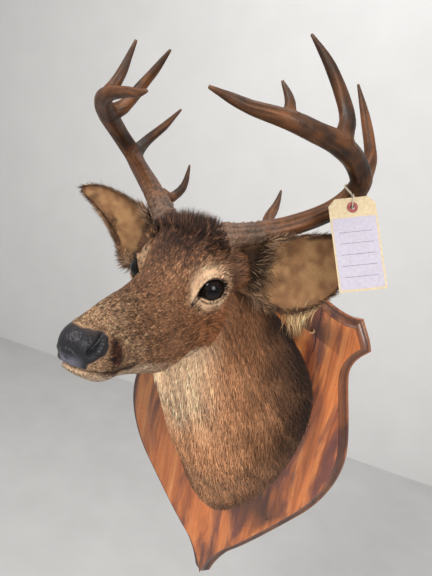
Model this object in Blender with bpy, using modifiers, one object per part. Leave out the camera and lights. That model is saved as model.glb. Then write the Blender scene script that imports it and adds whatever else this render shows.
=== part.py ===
"""White-tailed buck shoulder mount on a wooden shield plaque, as a still model.

Metres, +Z up. The plaque's back face lies in the plane Y = 0 and the deer looks
along -Y, so +X is the deer's left. Z = 0 is near the middle of the plaque.
"""
import math

import bmesh
import bpy
import numpy as np
from mathutils import Euler, Matrix, Vector

# ---------------------------------------------------------------- driving sizes
GAP = 0.0003                      # clearance between pieces that touch

BOARD_THICKNESS = 0.022
BOARD_HALF_WIDTH = 0.1925         # widest point of the front face
BOARD_TIP = -0.300                # lowest point of the front face
MOULDING_WIDTH = 0.015            # how far the moulded edge stands out

HEAD_ORIGIN = Vector((-0.0575, -0.2286, 0.3084))    # midway between the eyes
HEAD_PITCH = math.radians(13.5)                     # nose below the horizontal
HEAD_ROLL = math.radians(2.0)
HEAD_YAW = math.radians(-2.5)

EYE_RADIUS = 0.017
EYE_CENTRE = (0.050, 0.010, -0.004)                 # left eye, head frame

EAR_THICKNESS = 0.004

# Head frame, millimetres, as (y, z): the back edge of the nose pad from top to
# foot, and the mouth from the front of the lips to its corner
NOSE_PAD_TOP, NOSE_PAD_FOOT = (-175, 24), (-190.5, -21)
MOUTH_FRONT, MOUTH_CORNER = (-200, -20.5), (-114, -48)

RING_POINTS = 24                  # points round each section of the body
STEPS = 2                         # sections between two stations

TAG_LENGTH, TAG_WIDTH, TAG_THICKNESS = 0.113, 0.0565, 0.0008
TAG_CORNER = 0.0084
TAG_ABOVE_EYELET = 0.012
TAG_EYELET = Vector((0.1358, -0.1642, 0.4311))
TAG_ACROSS = Vector((0.898, 0.350, 0.267))          # along the tag's short side
TAG_UP = Vector((-0.349, 0.198, 0.916))             # from its foot to its eyelet
EYELET_RADIUS, EYELET_HOLE, EYELET_THICKNESS = 0.0065, 0.0028, 0.0006

STRING_RADIUS = 0.0006
TIE_STATION = 4.75                # where the string is tied, along the left beam
KNOT_RADIUS = 0.0019
# The string's route in the tag's frame, millimetres: across the tag, behind its
# face, and above the eyelet's middle
STRING_ROUTE = [(7.4, 17.6, 20.8), (7.2, 15.2, 20.4), (6.9, 12.4, 19.8), (6.5, 9.6, 19.0), (5.9, 6.8, 18.1),
                (5.1, 4.2, 17.0), (4.2, 1.8, 15.7), (3.3, -0.3, 14.1), (2.5, -1.7, 12.0), (1.8, -2.2, 9.8),
                (1.2, -2.5, 7.4), (0.7, -2.8, 5.1), (0.3, -2.6, 3.0), (0.1, -1.9, 1.3), (0.0, -0.6, 0.2),
                (0.0, 1.0, -0.5), (0.1, 2.8, -0.9), (0.2, 4.6, -1.2)]

# Body sections in the head frame (millimetres, +Y towards the neck):
# (top y, z), (bottom y, z), half width, height of the widest part (0 bottom,
# 1 top), squareness above it, squareness below it
HEAD_STATIONS = [
    ((-195, 5), (-192, -14), 10, 0.50, 2.2, 2.2),      # tip of the nose
    ((-190, 13), (-186, -29), 18, 0.52, 2.4, 2.3),
    ((-180, 19), (-174, -41), 22, 0.52, 2.4, 2.4),     # nostrils
    ((-163, 21), (-161, -51), 26, 0.50, 2.3, 2.6),
    ((-142, 24), (-142, -59), 27, 0.48, 2.2, 2.7),     # lips
    ((-118, 25), (-118, -72), 30, 0.47, 2.2, 2.7),
    ((-90, 24), (-90, -89), 36, 0.47, 2.1, 2.6),       # cheek
    ((-60, 27), (-60, -106), 42, 0.48, 2.0, 2.55),
    ((-30, 38), (-30, -114), 47, 0.45, 1.9, 2.45),      # tear ducts
    ((0, 50), (-10, -117), 52, 0.52, 2.2, 2.4),          # eyes
    ((30, 58), (0, -122), 58, 0.55, 2.4, 2.4),        # angle of the jaw
    ((60, 62), (8, -126), 62, 0.50, 2.3, 2.4),        # antler roots
]
MUZZLE_SHIFT = 2.0                # how far the face stands off its middle, mm,
MUZZLE_TURN = 0.047               # and how fast it swings to the deer's left
# Neck sections in the model's own frame (metres): centre X, (top y, z),
# (bottom y, z), half width, height of the widest part, squareness above, below
NECK_STATIONS = [
    (-0.054, (-0.140, 0.373), (-0.194, 0.172), 0.069, 0.50, 2.2, 1.95),
    (-0.034, (-0.105, 0.334), (-0.202, 0.128), 0.079, 0.50, 2.1, 1.95),
    (-0.012, (-0.078, 0.299), (-0.195, 0.075), 0.089, 0.50, 2.1, 1.9),
    (0.012, (-0.058, 0.267), (-0.180, 0.021), 0.105, 0.50, 2.1, 1.87),
    (0.024, (-0.042, 0.235), (-0.148, -0.031), 0.115, 0.56, 2.1, 1.83),
    (0.021, (-0.031, 0.217), (-0.105, -0.088), 0.117, 0.59, 2.1, 1.77),
    (0.007, (-0.0225, 0.202), (-0.0225, -0.134), 0.129, 0.61, 2.2, 1.83),
]

ANTLER_STEPS = 3                  # sections between two points of an antler
BEAM_SIDES = 10
BEAM_PIECES = ("base", "beam_1", "beam_2", "beam_3", "beam_tip")
FORKS = (2, 5, 7, 9)              # points of the beam where a tine leaves it
# Antler centre lines in the head frame (millimetres, +Y towards the neck),
# with the radius at each point; X is the distance from the middle of the head
ANTLERS = {
    "left": {
        "beam": [(30, 44, 40, 9), (46, 58, 50, 15.5), (74, 83, 54, 14.5), (113, 111, 66, 14),
                 (155, 137, 90, 13.5), (183, 144, 126, 14), (175, 127, 156, 13.5), (158, 93, 177, 14),
                 (138, 57, 189, 12), (112, 29, 200, 10.5), (80, 10, 207, 8), (57, -3, 215, 5.5),
                 (37, -14, 223, 2.2)],
        "brow_tine": [(84, 105, 60, 9), (79, 122, 68, 7.5), (78, 151, 81, 5), (74, 177, 96, 1.8)],
        "g2": [(184, 150, 132, 12), (184, 186, 158, 8.5), (163, 219, 202, 6.5), (138, 246, 245, 2)],
        "g3": [(158, 95, 180, 13), (157, 110, 203, 9.5), (141, 122, 231, 8), (118, 128, 262, 6),
               (92, 130, 289, 2)],
        "g4": [(111, 30, 203, 7.5), (106, 39, 219, 5.3), (92, 48, 236, 2)],
    },
    "right": {
        "beam": [(30, 44, 37, 9), (47, 59, 54, 15.5), (83, 89, 72, 14.5), (120, 118, 87, 14),
                 (149, 140, 99, 13.5), (167, 147, 116, 14), (174, 126, 143, 13.5), (168, 90, 172, 14),
                 (147, 54, 191, 11.5), (117, 28, 202, 9), (82, 12, 207, 6.5), (55, -2, 208, 5),
                 (34, -15, 212, 2.2)],
        "brow_tine": [(82, 103, 72, 9), (76, 122, 66, 7.5), (72, 151, 80, 5.5), (79, 178, 107, 1.8)],
        "g2": [(165, 152, 112, 12), (165, 185, 130, 8.5), (153, 217, 153, 6.5), (138, 245, 181, 2)],
        "g3": [(168, 92, 172, 13), (152, 108, 185, 9.5), (134, 123, 213, 7.5), (114, 130, 239, 5.5),
               (96, 132, 261, 2)],
        "g4": [(116, 28, 204, 7.5), (106, 38, 226, 6.2), (92, 47, 263, 2)],
    },
}

# Ears in the head frame (millimetres): upper edge, lower edge and depth of the
# cup, from the root to the tip; X is the distance from the middle of the head
EARS = {
    "left": [(58, 74, 38, 56, 50, -14, 10), (90, 84, 49, 86, 58, -26, 22), (120, 88, 59, 118, 64, -36, 22),
             (147, 90, 68, 154, 70, -32, 18), (170, 90, 73, 185, 77, -6, 13), (193, 90, 71, 202, 83, 24, 7),
             (213, 90, 58, 213, 89, 52, 1)],
    "right": [(58, 70, 34, 56, 40, -12, 10), (80, 76, 45, 80, 42, -20, 22), (104, 78, 57, 104, 41, -14, 22),
              (136, 78, 68, 118, 44, 5, 17), (165, 76, 73, 139, 47, 31, 12), (187, 74, 71, 168, 54, 51, 7),
              (203, 71, 65, 200, 69, 60, 1)],
}
EAR_BACK = (-0.45, 0.80, -0.25)   # the way the cup of an ear is sunk
EAR_CURL = 1.2                    # half the angle of the cup's arc, radians
EAR_COLUMNS = 8
EAR_ROOT = (0.060, 0.008)         # the thick root of an ear: centre (y, z) in the
EAR_ROOT_REACH = (0.021, 0.028)   # head frame, half lengths, and how far it
EAR_ROOT_RISE = 0.026             # stands out from the side of the head

HEAD_MATRIX = Matrix.Translation(HEAD_ORIGIN) @ Euler(
    (HEAD_PITCH, HEAD_ROLL, HEAD_YAW), "XYZ").to_matrix().to_4x4()
HEAD_TURN = np.array(HEAD_MATRIX.to_3x3())
MM = 0.001


# ---------------------------------------------------------------- scene set-up
for old in list(bpy.data.objects):
    bpy.data.objects.remove(old, do_unlink=True)

parts = bpy.data.collections.new("deer_shoulder_mount")
cutters = bpy.data.collections.new("cutters")
bpy.context.scene.collection.children.link(parts)
bpy.context.scene.collection.children.link(cutters)


def material(name, colour, roughness, metallic=0.0):
    made = bpy.data.materials.new(name)
    made.use_nodes = True
    shader = made.node_tree.nodes["Principled BSDF"]
    shader.inputs["Base Color"].default_value = (*colour, 1.0)
    shader.inputs["Roughness"].default_value = roughness
    shader.inputs["Metallic"].default_value = metallic
    return made


WOOD = material("varnished_wood", (0.42, 0.13, 0.045), 0.3)
COAT = material("brown_coat", (0.26, 0.13, 0.06), 0.8)
THROAT = material("tan_coat", (0.42, 0.24, 0.12), 0.8)
EAR = material("ear_coat", (0.33, 0.19, 0.09), 0.8)
NOSE = material("nose_skin", (0.02, 0.02, 0.03), 0.35)
GLASS_EYE = material("glass_eye", (0.01, 0.01, 0.012), 0.05)
ANTLER = material("antler", (0.28, 0.13, 0.055), 0.45)
CARD = material("manila_card", (0.78, 0.66, 0.45), 0.7)
RING = material("eyelet_fibre", (0.55, 0.10, 0.12), 0.6)
STRING = material("tag_string", (0.75, 0.70, 0.62), 0.8)


def link(obj, skin, collection=parts):
    collection.objects.link(obj)
    obj.data.materials.clear()
    obj.data.materials.append(skin)
    return obj


def hide_cutter(obj):
    obj.hide_render = True
    obj.display_type = "WIRE"
    return obj


def cut(obj, cutter, operation="DIFFERENCE"):
    step = obj.modifiers.new(operation.lower() + "_" + cutter.name, "BOOLEAN")
    step.operation = operation
    step.object = cutter
    step.solver = "EXACT"


def settle(obj):
    """Apply a piece's cuts, merge the hair-thin edges that they leave, and run its
    faces from the top of the piece down."""
    bpy.context.view_layer.update()
    mesh = bpy.data.meshes.new_from_object(obj.evaluated_get(bpy.context.evaluated_depsgraph_get()))
    work = bmesh.new()
    work.from_mesh(mesh)
    bmesh.ops.remove_doubles(work, verts=work.verts, dist=GAP * 0.6)
    bmesh.ops.triangulate(work, faces=work.faces, quad_method="BEAUTY", ngon_method="BEAUTY")
    work.faces.sort(key=lambda face: -face.calc_center_median().z)
    work.to_mesh(mesh)
    work.free()
    obj.modifiers.clear()
    obj.data = mesh


# ---------------------------------------------------------------- shape helpers
def smooth_path(stations, steps):
    """Catmull-Rom through the stations, with a number of steps between two."""
    rows = np.asarray(stations, float)
    padded = np.concatenate([2 * rows[:1] - rows[1:2], rows, 2 * rows[-1:] - rows[-2:-1]])
    out = []
    for i in range(len(rows) - 1):
        a, b, c, d = padded[i:i + 4]
        for t in np.arange(steps) / steps:
            out.append(0.5 * (2 * b + (c - a) * t + (2 * a - 5 * b + 4 * c - d) * t ** 2
                              + (3 * b - a - 3 * c + d) * t ** 3))
    out.append(rows[-1])
    return np.array(out)


def section(top, bottom, half_width, widest, power_above, power_below, count):
    """A closed section in its own plane, from superellipse halves."""
    top, bottom = np.asarray(top, float), np.asarray(bottom, float)
    points = []
    for angle in np.arange(count) * 2 * math.pi / count:
        across, along = math.cos(angle), math.sin(angle)
        power = power_above if along >= 0 else power_below
        x = half_width * math.copysign(abs(across) ** (2 / power), across)
        rise = math.copysign(abs(along) ** (2 / power), along)
        height = widest + rise * ((1 - widest) if along >= 0 else widest)
        y, z = bottom + (top - bottom) * height
        points.append((x, y, z))
    return np.array(points)


def tube_mesh(name, points, radii, resolution):
    """A round tube of changing radius along points, as a closed mesh."""
    curve = bpy.data.curves.new(name, "CURVE")
    curve.dimensions = "3D"
    curve.bevel_depth = 1.0
    curve.bevel_resolution = resolution
    curve.render_resolution_u = 0
    curve.use_fill_caps = True
    spline = curve.splines.new("POLY")
    spline.points.add(len(points) - 1)
    for knot, point, radius in zip(spline.points, points, radii):
        knot.co = (*point, 1.0)
        knot.radius = radius
    guide = bpy.data.objects.new(name, curve)
    cutters.objects.link(guide)
    bpy.context.view_layer.update()
    mesh = bpy.data.meshes.new_from_object(guide.evaluated_get(bpy.context.evaluated_depsgraph_get()))
    bpy.data.objects.remove(guide, do_unlink=True)
    work = bmesh.new()
    work.from_mesh(mesh)
    bmesh.ops.remove_doubles(work, verts=work.verts, dist=1e-6)
    bmesh.ops.recalc_face_normals(work, faces=work.faces)
    work.to_mesh(mesh)
    work.free()
    mesh.name = name
    return mesh


def loft_mesh(name, rings):
    """Skin a run of closed rings and cap both ends."""
    work = bmesh.new()
    loops = [[work.verts.new(p) for p in ring] for ring in rings]
    for near, far in zip(loops[:-1], loops[1:]):
        for i in range(len(near)):
            j = (i + 1) % len(near)
            work.faces.new((near[i], near[j], far[j], far[i]))
    work.faces.new(reversed(loops[0]))
    work.faces.new(loops[-1])
    bmesh.ops.recalc_face_normals(work, faces=work.faces)
    mesh = bpy.data.meshes.new(name)
    work.to_mesh(mesh)
    work.free()
    return mesh


def box_cutter(name, low, high, matrix):
    """A box between two corners, placed by a matrix."""
    low, high = Vector(low), Vector(high)
    work = bmesh.new()
    bmesh.ops.create_cube(work, size=1.0)
    size = high - low
    bmesh.ops.scale(work, vec=size, verts=work.verts)
    bmesh.ops.translate(work, vec=(low + high) / 2, verts=work.verts)
    mesh = bpy.data.meshes.new(name)
    work.to_mesh(mesh)
    work.free()
    mesh.transform(matrix)
    obj = bpy.data.objects.new(name, mesh)
    cutters.objects.link(obj)
    return hide_cutter(obj)


def in_head(point_mm, side=1):
    """A point of the head frame, in millimetres, in the model's frame."""
    x, y, z = point_mm[:3]
    return HEAD_MATRIX @ (Vector((side * x, y, z)) * MM)


# ---------------------------------------------------------------- plaque
def board_outline():
    """Half outline of the front face from the top centre down to the tip."""
    knots = [
        # point, handle before, handle after (metres), as a cubic spline
        ((0.000, 0.306), None, (0.040, 0.306)),
        ((0.096, 0.284), (0.074, 0.300), (0.106, 0.272)),
        ((0.172, 0.2520), (0.150, 0.2490), (0.176, 0.244)),
        ((0.187, 0.2225), (0.184, 0.232), (0.172, 0.208)),
        ((0.1650, 0.170), (0.1635, 0.190), (0.1665, 0.146)),
        ((BOARD_HALF_WIDTH, 0.026), (0.192, 0.068), (0.1925, -0.020)),
        ((0.146, -0.098), (0.170, -0.066), (0.119, -0.132)),
        ((0.040, -0.224), (0.066, -0.200), (0.018, -0.246)),
        ((0.000, BOARD_TIP), (0.004, -0.282), None),
    ]
    counts = (4, 5, 2, 5, 6, 5, 5, 3)
    points = []
    for (start, _, out), (end, into, _), count in zip(knots[:-1], knots[1:], counts):
        a, b, c, d = (np.array(p) for p in (start, out, into, end))
        for t in np.arange(count) / count:
            points.append((1 - t) ** 3 * a + 3 * (1 - t) ** 2 * t * b + 3 * (1 - t) * t * t * c + t ** 3 * d)
    points.append(np.array(knots[-1][0]))
    return np.array(points)


def offset_outline(outline, distance):
    """Move a closed clockwise outline outwards by a distance, with mitres."""
    before, after = np.roll(outline, 1, axis=0), np.roll(outline, -1, axis=0)
    e1 = outline - before
    e2 = after - outline
    n1 = np.stack([-e1[:, 1], e1[:, 0]], 1) / np.linalg.norm(e1, axis=1)[:, None]
    n2 = np.stack([-e2[:, 1], e2[:, 0]], 1) / np.linalg.norm(e2, axis=1)[:, None]
    middle = n1 + n2
    scale = 2 / np.maximum((middle ** 2).sum(1), 1.6)
    return outline + middle * scale[:, None] * distance


def make_plaque():
    half = board_outline()
    right = half
    left = half[1:-1][::-1] * (-1, 1)
    outline = np.concatenate([right, left])
    # moulding: (share of the width, depth behind the front face)
    profile = [(0.00, 0.000), (0.02, 0.0030), (0.14, 0.0068), (0.40, 0.0102), (0.68, 0.0115),
               (0.72, 0.0135), (0.92, 0.0152), (1.00, 0.0185), (0.94, BOARD_THICKNESS)]
    rings = []
    for share, depth in profile:
        flat = offset_outline(outline, share * MOULDING_WIDTH)
        rings.append([(x, -BOARD_THICKNESS + depth, z) for x, z in flat])
    return link(bpy.data.objects.new("plaque", loft_mesh("plaque", rings)), WOOD)


make_plaque()


# ---------------------------------------------------------------- head and neck
def body_rings():
    """Sections from the tip of the nose to the plaque, in the model's frame."""
    rings = []
    for top, bottom, width, widest, above, below in HEAD_STATIONS:
        flat = section(top, bottom, width, widest, above, below, RING_POINTS)
        rings.append([in_head((x + MUZZLE_SHIFT - MUZZLE_TURN * y, y, z)) for x, y, z in flat])
    for centre, top, bottom, width, widest, above, below in NECK_STATIONS:
        flat = section(top, bottom, width, widest, above, below, RING_POINTS)
        rings.append([(x + centre, y, z) for x, y, z in flat])
    rings = smooth_path(np.array([[tuple(p) for p in ring] for ring in rings]), STEPS)
    flat = rings @ HEAD_TURN - np.array(HEAD_ORIGIN) @ HEAD_TURN
    across, y, z = flat[..., 0], flat[..., 1], flat[..., 2]
    far = ((y - EAR_ROOT[0]) / EAR_ROOT_REACH[0]) ** 2 + ((z - EAR_ROOT[1]) / EAR_ROOT_REACH[1]) ** 2
    rise = EAR_ROOT_RISE * np.exp(-far ** 2) * np.clip((np.abs(across) - 0.03) / 0.02, 0, 1)
    rings = rings + (rise * np.sign(across))[..., None] * HEAD_TURN[:, 0]
    rings[-1][:, 1] = -BOARD_THICKNESS - GAP
    return rings


def piece_of_body(name, skin, rings):
    return link(bpy.data.objects.new(name, loft_mesh(name, rings)), skin)


def wedge(name, start, end, depth, grow):
    """A block under the face between two (y, z) points of the head frame."""
    (y0, z0), (y1, z1) = start, end
    place = (HEAD_MATRIX @ Matrix.Translation(Vector((0, y0, z0)) * MM)
             @ Matrix.Rotation(math.atan2(z1 - z0, y1 - y0), 4, "X"))
    length = math.hypot(y1 - y0, z1 - z0) * MM + grow
    return box_cutter(name, (-0.08, -0.03, -depth * MM), (0.08, length, grow), place)


def antler_tube(name, rows, side):
    path = smooth_path(rows, ANTLER_STEPS)
    return tube_mesh(name, [in_head(row, side) for row in path], path[:, 3] * MM, 2)


def tube_rings(points, radii, sides):
    """Rings of a round tube along points, kept from twisting."""
    points = np.array([tuple(p) for p in points])
    ways = np.gradient(points, axis=0)
    ways /= np.linalg.norm(ways, axis=1)[:, None]
    across = np.cross(ways[0], (0.3, 0.2, 0.9))
    rings = []
    for point, way, radius in zip(points, ways, radii):
        across = across - way * across.dot(way)
        across /= np.linalg.norm(across)
        up = np.cross(way, across)
        turns = np.arange(sides) * 2 * math.pi / sides
        rings.append(point + radius * (np.cos(turns)[:, None] * across + np.sin(turns)[:, None] * up))
    return np.array(rings), ways


def make_body():
    """Head, nose pad, lower jaw and neck, each cut from one skinned body."""
    rings = body_rings()
    head_end = STEPS * (len(HEAD_STATIONS) - 1)
    face = rings[:head_end + 1]
    head = piece_of_body("head", COAT, face)
    for label, skin, start, end, depth in (
            ("lower_jaw", COAT, MOUTH_FRONT, MOUTH_CORNER, 60),
            ("nose", NOSE, NOSE_PAD_TOP, NOSE_PAD_FOOT, 40)):
        piece = piece_of_body(label, skin, face)
        cut(piece, wedge(label + "_block", start, end, depth, 0.0), "INTERSECT")
        cut(head, wedge(label + "_room", start, end, depth, GAP))
    neck_rings = rings[head_end:].copy()
    step = neck_rings[1] - neck_rings[0]
    neck_rings[0] = neck_rings[0] + step * (GAP / np.linalg.norm(step, axis=1).min())
    return head, piece_of_body("neck", THROAT, neck_rings)


def make_eyes(head):
    for side, name in ((1, "left"), (-1, "right")):
        across = side * EYE_CENTRE[0] + MUZZLE_SHIFT * MM
        place = HEAD_MATRIX @ Vector((across, EYE_CENTRE[1], EYE_CENTRE[2]))
        for grow, label, home in ((0.0, "eye_" + name, parts), (GAP, "socket_" + name, cutters)):
            work = bmesh.new()
            bmesh.ops.create_uvsphere(work, u_segments=16, v_segments=10, radius=EYE_RADIUS + grow)
            mesh = bpy.data.meshes.new(label)
            work.to_mesh(mesh)
            work.free()
            ball = bpy.data.objects.new(label, mesh)
            ball.location = place
            ball.rotation_euler = (0, side * math.pi / 2, 0)
            link(ball, GLASS_EYE, home)
            if home is cutters:
                cut(head, hide_cutter(ball))


def make_antler(side, name, flesh):
    plan = ANTLERS[name]
    beam = plan["beam"]
    label = "antler_" + name
    path = smooth_path(beam, ANTLER_STEPS)
    points = [in_head(row, side) for row in path]
    rings, ways = tube_rings(points, path[:, 3] * MM, BEAM_SIDES)
    room, _ = tube_rings(points, path[:, 3] * MM + 2 * GAP, BEAM_SIDES)
    room[0] -= ways[0] * GAP
    room[-1] += ways[-1] * GAP
    core = link(bpy.data.objects.new(label + "_core", loft_mesh(label + "_core", room)), ANTLER, cutters)
    hide_cutter(core)
    ends = (0, *(fork * ANTLER_STEPS for fork in FORKS), len(path) - 1)
    for start, end, piece in zip(ends[:-1], ends[1:], BEAM_PIECES):
        length = rings[start:end + 1].copy()
        if start:
            length[0] += ways[start] * GAP / 2
        if end < len(path) - 1:
            length[-1] -= ways[end] * GAP / 2
        link(bpy.data.objects.new(f"{label}_{piece}", loft_mesh(f"{label}_{piece}", length)), ANTLER)
    for tine in ("brow_tine", "g2", "g3", "g4"):
        mesh = antler_tube(f"{label}_{tine}", plan[tine], side)
        obj = link(bpy.data.objects.new(f"{label}_{tine}", mesh), ANTLER)
        cut(obj, core)
    for piece in flesh:
        cut(piece, core)


def ear_surface(rows, side, grow):
    """The cupped blade of an ear as an open sheet, its edges grown outwards."""
    rows = smooth_path(rows, 2)
    rows[0] += (rows[0] - rows[1]) / np.linalg.norm(rows[0][:3] - rows[1][:3]) * grow
    points = []
    for row in rows:
        upper, lower, depth = Vector(row[:3]), Vector(row[3:6]), row[6]
        middle, half = (upper + lower) / 2, (lower - upper) / 2
        back = (Vector(EAR_BACK) - half * (Vector(EAR_BACK).dot(half) / half.length_squared)).normalized()
        half *= 1 + grow / half.length
        line = []
        for j in range(EAR_COLUMNS + 1):
            turn = (2 * j / EAR_COLUMNS - 1) * EAR_CURL
            across = math.sin(turn) / math.sin(EAR_CURL)
            sunk = (math.cos(turn) - math.cos(EAR_CURL)) / (1 - math.cos(EAR_CURL))
            line.append(in_head(middle + half * across + back * depth * sunk, side))
        points.append(line)
    return points


def make_ear(side, name, flesh):
    for grow, label, home in ((0.0, "ear_" + name, parts), (GAP, "ear_socket_" + name, cutters)):
        work = bmesh.new()
        grid = [[work.verts.new(p) for p in row] for row in ear_surface(EARS[name], side, grow / MM)]
        for low, high in zip(grid[:-1], grid[1:]):
            for j in range(len(low) - 1):
                work.faces.new((low[j], low[j + 1], high[j + 1], high[j]))
        bmesh.ops.recalc_face_normals(work, faces=work.faces)
        mesh = bpy.data.meshes.new(label)
        work.to_mesh(mesh)
        work.free()
        obj = link(bpy.data.objects.new(label, mesh), EAR, home)
        shell = obj.modifiers.new("thickness", "SOLIDIFY")
        shell.thickness = EAR_THICKNESS + 4 * grow
        shell.offset = 0.0
        if home is cutters:
            for piece in flesh:
                cut(piece, hide_cutter(obj))
        else:
            cut(obj, bpy.data.objects["antler_" + name + "_core"])


def make_tag():
    up = (TAG_UP - TAG_ACROSS * (TAG_UP.dot(TAG_ACROSS) / TAG_ACROSS.length_squared)).normalized()
    across = TAG_ACROSS.normalized()
    hang = Matrix.Translation(TAG_EYELET) @ Matrix((across, up.cross(across), up)).transposed().to_4x4()
    top, w, c = TAG_ABOVE_EYELET, TAG_WIDTH / 2, TAG_CORNER
    outline = [(-w, top - c), (-w + c, top), (w - c, top), (w, top - c), (w, top - TAG_LENGTH),
               (-w, top - TAG_LENGTH)]
    rings = []
    for y in (-TAG_THICKNESS / 2, TAG_THICKNESS / 2):
        rings.append([hang @ Vector((x, y, z)) for x, z in outline])
    card = link(bpy.data.objects.new("tag", loft_mesh("tag", rings)), CARD)
    eyelet = tag_disc("tag_eyelet", EYELET_RADIUS, EYELET_THICKNESS, hang, RING, parts)
    eyelet.location = hang @ Vector((0, -(TAG_THICKNESS + EYELET_THICKNESS) / 2 - GAP, 0))
    hole = hide_cutter(tag_disc("eyelet_hole", EYELET_HOLE, 0.01, hang, RING, cutters))
    cut(card, hole)
    cut(eyelet, hole)
    return hang


def make_string(hang):
    """The tie round the left beam, the string to the tag, and its end knot."""
    beam = smooth_path(ANTLERS["left"]["beam"], 4)
    at = round(TIE_STATION * 4)
    centre = in_head(beam[at])
    way = (in_head(beam[at + 1]) - in_head(beam[at - 1])).normalized()
    path = [hang @ (Vector(p) * MM) for p in STRING_ROUTE]
    towards = path[0] - centre
    towards = (towards - way * towards.dot(way)).normalized()
    round_beam = beam[at, 3] * MM + STRING_RADIUS + 2 * GAP
    turn = way.to_track_quat("Z", "Y").to_matrix().to_4x4()
    bpy.ops.mesh.primitive_torus_add(major_segments=20, minor_segments=6, major_radius=round_beam,
                                     minor_radius=STRING_RADIUS)
    tie = bpy.context.object
    tie.name = tie.data.name = "tag_tie"
    for home in list(tie.users_collection):
        home.objects.unlink(tie)
    link(tie, STRING)
    tie.data.transform(Matrix.Translation(centre) @ turn)
    knot = ball("tie_knot", centre + towards * (round_beam + KNOT_RADIUS / 2), cutters)
    cut(tie, hide_cutter(knot), "UNION")
    start = centre + towards * (round_beam + KNOT_RADIUS * 1.5)
    away = (path[0] - start).normalized()
    path[0] = start + away * GAP
    string = tube_mesh("tag_string", path, [STRING_RADIUS] * len(path), 2)
    link(bpy.data.objects.new("tag_string", string), STRING)
    last = (path[-1] - path[-2]).normalized()
    ball("string_knot", path[-1] + last * (KNOT_RADIUS + GAP), parts)


def ball(label, place, home):
    work = bmesh.new()
    bmesh.ops.create_icosphere(work, subdivisions=2, radius=KNOT_RADIUS)
    mesh = bpy.data.meshes.new(label)
    work.to_mesh(mesh)
    work.free()
    made = link(bpy.data.objects.new(label, mesh), STRING, home)
    made.location = place
    return made


def tag_disc(label, radius, thickness, hang, skin, home):
    """A flat disc facing the way the tag faces, at the eyelet."""
    work = bmesh.new()
    bmesh.ops.create_cone(work, cap_ends=True, segments=16, radius1=radius, radius2=radius, depth=thickness)
    mesh = bpy.data.meshes.new(label)
    work.to_mesh(mesh)
    work.free()
    mesh.transform(Matrix.Rotation(math.pi / 2, 4, "X"))
    disc = link(bpy.data.objects.new(label, mesh), skin, home)
    disc.matrix_world = hang
    return disc


head, neck = make_body()
make_eyes(head)
for side, name in ((1, "left"), (-1, "right")):
    make_antler(side, name, (head, neck))
    make_ear(side, name, (head, neck))
make_string(make_tag())
for piece in parts.objects:
    if any(step.type == "BOOLEAN" for step in piece.modifiers):
        settle(piece)
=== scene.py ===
"""A white-tailed buck shoulder mount on a varnished shield plaque, a life-size still model.

Metres, +Z up; the plaque's back lies in the plane Y = 0 and the deer looks along -Y,
so +X is its left. The head is shaped in its own frame, in millimetres: X to the
deer's left, Y towards the neck, Z up, with the origin midway between the eyes.
"""
import math

import bmesh
import bpy
import numpy as np
from mathutils import Euler, Matrix, Vector
from mathutils.kdtree import KDTree


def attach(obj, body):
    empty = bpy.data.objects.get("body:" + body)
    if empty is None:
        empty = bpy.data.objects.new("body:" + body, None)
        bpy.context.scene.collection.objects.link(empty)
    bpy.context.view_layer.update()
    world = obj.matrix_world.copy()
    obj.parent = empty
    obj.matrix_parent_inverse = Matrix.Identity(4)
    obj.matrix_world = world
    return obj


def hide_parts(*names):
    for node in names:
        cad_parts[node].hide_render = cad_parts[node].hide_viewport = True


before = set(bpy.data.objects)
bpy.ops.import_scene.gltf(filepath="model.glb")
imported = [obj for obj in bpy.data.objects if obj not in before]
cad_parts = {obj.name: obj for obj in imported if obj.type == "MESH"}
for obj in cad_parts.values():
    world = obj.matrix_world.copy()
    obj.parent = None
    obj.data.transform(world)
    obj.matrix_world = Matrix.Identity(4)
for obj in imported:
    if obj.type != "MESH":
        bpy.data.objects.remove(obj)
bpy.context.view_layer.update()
MM = 0.001
SIDES = {1: "left", -1: "right"}
RNG = np.random.default_rng(11)
CELLS = 64
LATTICE = np.random.default_rng(5).random((CELLS,) * 3)


# ---- numbers and colours
def unit(v):
    v = np.asarray(v, float)
    return v / np.maximum(np.linalg.norm(v, axis=-1, keepdims=True), 1e-12)


def step(low, high, value):
    """0 before low and 1 past high, smooth between; low may be the larger."""
    t = np.clip((value - low) / (high - low), 0, 1)
    return t * t * (3 - 2 * t)


def hump(distance, width):
    return np.exp(-(distance / width) ** 2)


def bell(points, centre, radii):
    """1 at the centre of an ellipsoid, fading smoothly outwards."""
    return np.exp(-(((points - np.asarray(centre, float)) / np.asarray(radii, float)) ** 2).sum(-1))


def between(a, b, share):
    return a * (1 - share) + b * share


def mix(a, b, share):
    """Between two colours, point by point."""
    return between(np.asarray(a), np.asarray(b), np.asarray(share)[..., None])


def overlay(colour, *layers):
    """Lay tints over a colour one after another, each by its share."""
    for tint, share in layers:
        colour = mix(colour, tint, share)
    return colour


def srgb(r, g, b):
    """A colour given as 0-255 screen values, as linear light."""
    c = np.array([r, g, b]) / 255
    return np.where(c <= 0.04045, c / 12.92, ((c + 0.055) / 1.055) ** 2.4)


def noise(points, scale, seed=0):
    """Smooth value noise from 0 to 1 at points, with cells of the given size."""
    p = np.asarray(points) / scale + 17.3 * (seed + 1)
    base = np.floor(p).astype(int)
    t = step(0, 1, p - base)
    out = 0
    for corner in np.ndindex(2, 2, 2):
        share = np.where(corner, t, 1 - t)
        cell = tuple(np.moveaxis((base + corner) % CELLS, -1, 0))
        out = out + share[..., 0] * share[..., 1] * share[..., 2] * LATTICE[cell]
    return out


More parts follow.
